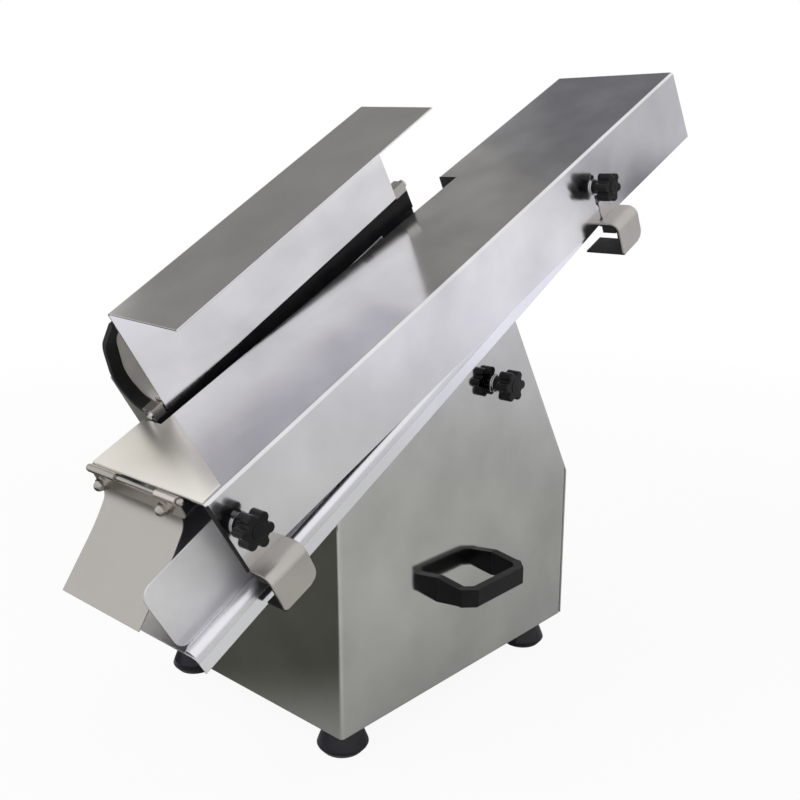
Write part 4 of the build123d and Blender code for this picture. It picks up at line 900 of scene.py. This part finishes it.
@dataclass
class Blade:
    """Bread blade: a thin disc with a ground edge and a row of scallops."""

    radius: float = 110.0 * MM
    ground: float = 102.0 * MM
    bore: float = 8.05 * MM
    half: float = 1.0 * MM
    tip: float = 0.15 * MM
    scallop: float = 2.4 * MM
    teeth: int = 60
    tooth_steps: int = 8

    def build(self, material: Material) -> None:
        """Make the blade and let it stand for its CAD node.

        Args:
            material: Blade's material.
        """
        middle = centre("blade")
        across, upward = Vector((1.0, 0.0, 0.0)), TRAY_PLANE.upward()
        uphill = upward.cross(across)
        sides = self.teeth * self.tooth_steps
        rings = (
            (self.bore, -self.half), (self.ground, -self.half), (self.radius, -self.tip),
            (self.radius, self.tip), (self.ground, self.half), (self.bore, self.half),
        )
        points = []
        for radius, rise in rings:
            for side in range(sides):
                turn = math.tau * side / sides
                bite = self.scallop * abs(math.sin(turn * self.teeth / 2)) if radius == self.radius else 0.0
                outward = across * math.cos(turn) + uphill * math.sin(turn)
                points.append(middle + outward * (radius - bite) + upward * rise)
        faces = tube_faces(len(rings), sides, closed=True)
        piece = smooth_piece("scalloped_blade", points, faces, material)
        settle(piece, "blade_set", ("blade",))


@dataclass
class PanelScrews:
    """Round-head screws with six-sided sockets that hold the rear panel.

    The profile gives radius and height in millimetres, and whether the ring has six sides.
    """

    across: float = 307.0 * MM
    up: float = 140.0 * MM
    middle: float = 133.0 * MM
    sides: int = 36
    profile: tuple[tuple[float, float, bool], ...] = (
        (2.0, -9.0, False), (2.0, 0.0, False), (4.0, 0.0, False), (4.0, 0.9, False), (3.5, 1.9, False),
        (2.8, 2.4, False), (2.1, 2.5, True), (2.0, 2.3, True), (1.9, 0.9, True),
    )

    def screw(self, material: Material) -> bpy.types.Object:
        """One screw, at the origin.

        Args:
            material: Screw's material.

        Returns:
            The screw.
        """
        half = math.pi / 6
        points: list[Vector] = []
        for radius, out, six_sided in self.profile:
            for side in range(self.sides):
                turn = math.tau * side / self.sides
                flat = math.cos(half) / math.cos(turn % (2 * half) - half) if six_sided else 1.0
                points.append(Vector((radius * flat * math.cos(turn), out, radius * flat * math.sin(turn))) * MM)
        return smooth_piece("screw", points, tube_faces(len(self.profile), self.sides), material)

    def build(self, material: Material) -> None:
        """Set the screws on the panel, where they stand for their CAD node.

        Args:
            material: Screws' material.
        """
        tree = PatternTree("socket_screws")
        screw = self.screw(material)
        place, upright = (0.0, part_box("rear_panel")[1][1], self.middle), Euler((math.pi / 2, 0, 0))
        spots = tree.add("Transform", Geometry=tree.corners(self.across, self.up), Translation=place, Rotation=upright)
        shape = tree.add("ObjectInfo", Object=screw).outputs["Geometry"]
        copies = tree.add("InstanceOnPoints", Points=spots.outputs[0], Instance=shape)
        tree.bake(copies.outputs[0], material, "frame", "bright_steel", ("rear_panel_screws",))
        bpy.data.meshes.remove(screw.data)


@dataclass
class RockerMarks:
    """Bar and ring inlaid on the rocker's face for on and off."""

    bar: tuple[float, float] = (1.1 * MM, 4.6 * MM)
    ring: tuple[float, float] = (2.5 * MM, 1.7 * MM)
    offset: float = 5.2 * MM
    proud: float = 0.12 * MM
    sides: int = 32

    def loops(self) -> tuple[list[tuple[float, float]], ...]:
        """Outlines of both marks.

        Returns:
            The bar, the ring's outside and its inside, as places across and up from the rocker's middle.
        """
        wide, tall, up = self.bar[0] / 2, self.bar[1] / 2, self.offset
        bar = [(-wide, up - tall), (wide, up - tall), (wide, up + tall), (-wide, up + tall)]
        turns = [math.tau * side / self.sides for side in range(self.sides)]
        circles = [[(radius * math.cos(a), radius * math.sin(a) - up) for a in turns] for radius in self.ring]
        return bar, *circles

    def lay(self, surface: BVHTree, loop: list[tuple[float, float]], rise: float) -> list[Vector]:
        """Put an outline on the rocker's face.

        Args:
            surface: Rocker's faces.
            loop: Outline, across and up from the rocker's middle.
            rise: Height above the face.

        Returns:
            The outline's points.
        """
        middle = centre("switch_rocker")
        points = []
        for across, up in loop:
            start = Vector((CAD_BOX[0][0], middle.y + across, middle.z + up))
            hit = surface.ray_cast(start, Vector((1.0, 0.0, 0.0)))[0]
            points.append(hit - Vector((rise, 0.0, 0.0)))
        return points

    def build(self, material: Material) -> None:
        """Lay the marks on the rocker's face.

        Args:
            material: Marks' material.
        """
        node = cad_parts["switch_rocker"]
        surface = BVHTree.FromObject(node, bpy.context.evaluated_depsgraph_get())
        bar, outside, inside = self.loops()
        points = self.lay(surface, bar, -self.proud) + self.lay(surface, bar, self.proud)
        faces = tube_faces(2, len(bar)) + tube_faces(4, self.sides, len(points), closed=True)
        for loop, rise in ((outside, -self.proud), (outside, self.proud), (inside, self.proud), (inside, -self.proud)):
            points += self.lay(surface, loop, rise)
        piece = smooth_piece("rocker_marks", points, faces, material)
        settle(piece, "rocker")


@dataclass
class Feet:
    """Moulded feet: a cone over a chamfered base, each with its stud.

    The profile gives radius and height in millimetres.
    """

    profile: Pairs = ((22.0, 0.0), (26.6, 5.2), (27.5, 7.0), (27.0, 8.8), (15.5, 38.0))
    radius: float = 27.5 * MM
    stud: float = 4.0 * MM
    weld: float = 0.01 * MM
    sides: int = 64

    def build(self, material: Material) -> None:
        """Make all four feet, which stand for their CAD node.

        Args:
            material: Feet's material.
        """
        low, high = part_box("feet")
        tree = PatternTree("cone_feet")
        shells = []
        for (below, start), (above, end) in zip(self.profile, self.profile[1:]):
            cone = tree.add(
                "MeshCone",
                Vertices=self.sides,
                Radius_Bottom=tree.size(f"Radius at {start:.1f}", below * MM),
                Radius_Top=above * MM,
                Depth=(end - start) * MM,
            )
            cone.fill_type = "NONE"
            shells.append(tree.add("Transform", Geometry=cone.outputs[0], Translation=(0, 0, start * MM)).outputs[0])
        for radius, height in (self.profile[0], self.profile[-1]):
            disc = tree.add("MeshCircle", Vertices=self.sides, Radius=radius * MM)
            disc.fill_type = "NGON"
            face = disc if height else tree.add("FlipFaces", Mesh=disc.outputs[0])
            shells.append(tree.add("Transform", Geometry=face.outputs[0], Translation=(0, 0, height * MM)).outputs[0])
        cone_foot = tree.add("MergeByDistance", Geometry=tree.gather(shells), Distance=self.weld).outputs[0]
        top = self.profile[-1][1] * MM
        rod = tree.add("MeshCylinder", Vertices=self.sides, Radius=tree.size("Stud", self.stud), Depth=high[2] - top)
        stud = tree.add("Transform", Geometry=rod.outputs[0], Translation=(0, 0, (high[2] + top) / 2)).outputs[0]
        foot = 2 * self.radius
        grid = tree.corners(high[0] - low[0] - foot, high[1] - low[1] - foot)
        middle = ((low[0] + high[0]) / 2, (low[1] + high[1]) / 2, 0.0)
        spots = tree.add("Transform", Geometry=grid, Translation=middle)
        copies = tree.add("InstanceOnPoints", Points=spots.outputs[0], Instance=tree.gather([cone_foot, stud]))
        smooth = tree.add("SetShadeSmooth", Geometry=copies.outputs[0])
        tree.bake(smooth.outputs[0], material, "frame", "rubber", ("feet",))


@dataclass
class VentLips:
    """Pressed lips round the slots of the rear panel."""

    length: float = 90.0 * MM
    width: float = 4.0 * MM
    pitch: float = 12.0 * MM
    count: int = 6
    up: float = 138.0 * MM
    lip: float = 1.1 * MM
    slack: float = 0.01 * MM
    round_steps: int = 10

    def build(self, material: Material) -> None:
        """Lay the lips on the panel's outside.

        Args:
            material: Lips' material.
        """
        tree = PatternTree("vent_lips")
        outline = tree.add(
            "CurvePrimitiveQuadrilateral",
            Width=tree.size("Length", self.length + self.lip),
            Height=tree.size("Width", self.width + self.lip),
        )
        radius = (self.width + self.lip) / 2 - self.slack
        round_ends = tree.add("FilletCurve", Curve=outline.outputs[0], Radius=radius)
        round_ends.mode = "POLY"
        tree.fill(round_ends, Count=self.round_steps)
        bead = tree.add("CurvePrimitiveCircle", Resolution=self.round_steps, Radius=tree.size("Lip", self.lip))
        loop = tree.add("CurveToMesh", Curve=round_ends.outputs[0], Profile_Curve=bead.outputs[0])
        row = tree.add("MeshLine", Count=self.count, Offset=(0.0, self.pitch, 0.0))
        copies = tree.add("InstanceOnPoints", Points=row.outputs[0], Instance=loop.outputs[0])
        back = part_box("rear_panel")[1][1]
        first = self.up - self.pitch * (self.count - 1) / 2
        upright = Euler((math.pi / 2, 0, 0))
        placed = tree.add("Transform", Geometry=copies.outputs[0], Translation=(0.0, back, first), Rotation=upright)
        tree.bake(tree.add("SetShadeSmooth", Geometry=placed.outputs[0]).outputs[0], material, "frame", "stainless")


@dataclass
class KnobCap:
    """Pressed-in round cap on a hand knob's face, its shape in shares of its radius and of its height."""

    node: str
    body: str
    radius: float = 7.5 * MM
    proud: float = 1.0 * MM
    sides: int = 40
    shape: Pairs = ((0.0, -0.6), (1.0, -0.6), (1.0, 0.4), (0.88, 0.75), (0.8, 0.62), (0.45, 0.92), (0.0, 1.0))

    def build(self, material: Material) -> None:
        """Set the cap on the knob.

        Args:
            material: Cap's material.
        """
        face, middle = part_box(self.node)[1][0], centre(self.node)
        points = []
        for share, rise in self.shape:
            radius = share * self.radius
            for side in range(self.sides):
                turn = math.tau * side / self.sides
                right, up = radius * math.cos(turn), radius * math.sin(turn)
                points.append(Vector((face + rise * self.proud, middle.y + right, middle.z + up)))
        piece = smooth_piece(self.node + "_cap", points, tube_faces(len(self.shape), self.sides), material)
        settle(piece, self.body)


def square(name: str, half: float) -> bpy.types.Object:
    """Level square of the stage, with half its side in metres."""
    mesh = bpy.data.meshes.new(name)
    mesh.from_pydata([(-half, -half, 0), (half, -half, 0), (half, half, 0), (-half, half, 0)], [], [(0, 1, 2, 3)])
    piece = bpy.data.objects.new(name, mesh)
    bpy.context.scene.collection.objects.link(piece)
    return piece


@dataclass(frozen=True)
class Lamp:
    """Square soft lamp: where it hangs, its side in metres and its power in watts."""

    name: str
    place: Point
    size: float
    power: float
    target: Point = (0.0, 0.0, 0.3)

    def hang(self) -> None:
        """Hang the lamp so that it faces the object and no reflection shows it."""
        data = bpy.data.lights.new(self.name, "AREA")
        data.size, data.energy = self.size, self.power
        lamp = bpy.data.objects.new(self.name, data)
        lamp.location = self.place
        lamp.rotation_euler = (Vector(self.target) - Vector(self.place)).to_track_quat("-Z", "Y").to_euler()
        lamp.visible_glossy = False
        bpy.context.scene.collection.objects.link(lamp)


@dataclass(frozen=True)
class Card:
    """Oval card that only metal reflects: its middle, size in metres, colour, faded share and the point it faces."""

    name: str
    place: Point
    size: tuple[float, float]
    grey: Colour
    soft: float
    target: Point = (0.0, 0.0, 0.35)

    def stand(self) -> None:
        """Stand the card on the stage."""
        card = square(self.name, 1.0)
        card.location = self.place
        card.rotation_euler = (Vector(self.target) - Vector(self.place)).to_track_quat("Z", "Y").to_euler()
        card.scale = (self.size[0] / 2, self.size[1] / 2, 1.0)
        tree = ShaderTree(self.name)
        fade = tree.add("MapRange", Value=tree.reach(), From_Min=1.0 - self.soft, From_Max=1.0)
        fade.interpolation_type = "SMOOTHSTEP"
        glow = tree.add("Emission", Color=(*self.grey, 1.0))
        tree.show(tree.blend(fade.outputs[0], glow.outputs[0], tree.add("BsdfTransparent").outputs[0]))
        card.data.materials.append(tree.material)
        card.visible_camera = False
        card.visible_diffuse = False
        card.visible_shadow = False


LAMPS = (
    Lamp("key", (-0.9, -1.6, 2.3), 1.6, 28.0),
    Lamp("fill", (2.2, -0.6, 1.6), 1.8, 18.0),
    Lamp("top", (0.2, 0.8, 2.6), 1.6, 16.0),
    Lamp("low", (-0.45, -1.6, 0.75), 0.8, 12.0),
)

CARDS = (
    Card("card_above_left", (-1.45, 0.45, 2.3), (2.7, 2.2), (0.27, 0.265, 0.25), 0.35),
    Card("card_back_left", (-0.96, 1.6, 2.1), (1.7, 1.7), (0.17, 0.17, 0.18), 0.7),
    Card("card_left", (-2.0, -0.3, 1.45), (1.2, 0.9), (0.72, 0.69, 0.61), 0.35),
    Card("card_front_floor", (-0.3, -0.52, 0.012), (1.3, 1.1), (0.1, 0.1, 0.085), 0.45, (-0.3, -0.52, 1.0)),
    Card("card_band", (1.04, 1.92, 0.506), (0.5, 0.2), (0.06, 0.065, 0.075), 0.6, (0.17, 0.35, 0.6)),
    Card("card_back_right", (1.2, 2.3, 0.75), (1.4, 1.2), (0.6, 0.6, 0.63), 0.55),
)


@dataclass
class Studio:
    """White sweep, soft lamps, reflection cards and the camera of the photograph."""

    lens: float = 45.0
    sensor: float = 36.0
    eye: Point = (0.8033, -0.8377, 0.6113)
    aim: Point = (-0.6535, 0.717, -0.2425)
    floor_half: float = 6.0
    floor_rough: float = 0.9
    floor_pale: Colour = (0.52, 0.522, 0.505)
    floor_fade: tuple[float, float] = (0.8, 2.2)
    floor_white: float = 0.93
    floor_sheen: Colour = (0.86, 0.855, 0.91)
    world_level: float = 0.55

    def camera(self) -> None:
        """Set the camera at the photograph's place."""
        data = bpy.data.cameras.new("camera")
        data.lens, data.sensor_width = self.lens, self.sensor
        data.sensor_fit = "HORIZONTAL"
        camera = bpy.data.objects.new("camera", data)
        camera.location = self.eye
        camera.rotation_euler = Vector(self.aim).to_track_quat("-Z", "Y").to_euler()
        bpy.context.scene.collection.objects.link(camera)
        bpy.context.scene.camera = camera

    def world(self) -> None:
        """Light from all round, with a background that the camera and metal see as white."""
        world = bpy.data.worlds.new("studio")
        bpy.context.scene.world = world
        world.use_nodes = True
        tree = NodeTree(world.node_tree, "ShaderNode")
        rays = tree.add("LightPath").outputs
        clear = tree.join("MAXIMUM", rays["Is Glossy Ray"], rays["Is Transmission Ray"])
        seen = tree.join("MAXIMUM", rays["Is Camera Ray"], clear)
        level = tree.add("MapRange", Value=seen, To_Min=self.world_level).outputs[0]
        tree.fill(tree.nodes["Background"], Color=(1.0, 1.0, 1.0, 1.0), Strength=level)

    def floor(self) -> None:
        """Lay a pale floor that looks white to the camera and keeps a faint shadow."""
        floor = square("floor", self.floor_half)
        tree = ShaderTree("floor")
        rays = tree.add("LightPath").outputs
        tree.finish(Base_Color=(*self.floor_pale, 1.0), Roughness=self.floor_rough)
        glow = tree.add("Emission", Color=(1.0, 1.0, 1.0, 1.0))
        near, far = self.floor_fade
        away = tree.add("MapRange", Value=tree.reach(), From_Min=near, From_Max=far).outputs[0]
        white = tree.add("MapRange", Value=away, To_Min=self.floor_white).outputs[0]
        seen = tree.join("MULTIPLY", rays["Is Camera Ray"], white)
        mirrored = tree.join("MULTIPLY", rays["Is Glossy Ray"], away)
        sheen = tree.add("Emission", Color=(*self.floor_sheen, 1.0))
        under = tree.blend(mirrored, tree.surface.outputs[0], sheen.outputs[0])
        tree.show(tree.blend(seen, under, glow.outputs[0]))
        floor.data.materials.append(tree.material)

    def build(self) -> None:
        """Set up the whole studio."""
        self.camera()
        self.world()
        self.floor()
        for lamp in LAMPS:
            lamp.hang()
        for card in CARDS:
            card.stand()


def main() -> None:
    """Set the view transform, dress the part and light it."""
    logging.basicConfig(level=logging.INFO, format="%(name)s %(message)s")
    bpy.context.scene.view_settings.view_transform = "Standard"
    made = dress_cad_nodes()
    for node, lip in TAB_LIPS.items():
        LiftTab(node, lip).build(made[TAB_STEEL], made[RUBBER_BLACK])
    TrayRim().build(made[RIM_STEEL])
    for prism in PRISMS:
        prism.build(made[prism.finish])
    Blade().build(made[BRIGHT_STEEL])
    PanelScrews().build(made[BRIGHT_STEEL])
    RockerMarks().build(made[BRIGHT_STEEL])
    Feet().build(made[FOOT_BLACK])
    VentLips().build(made[CASE_STEEL])
    for node, body in KNOB_BODIES.items():
        KnobCap(node, body).build(made[KNOB_BLACK])
    Studio().build()


if __name__ == "__main__":
    main()
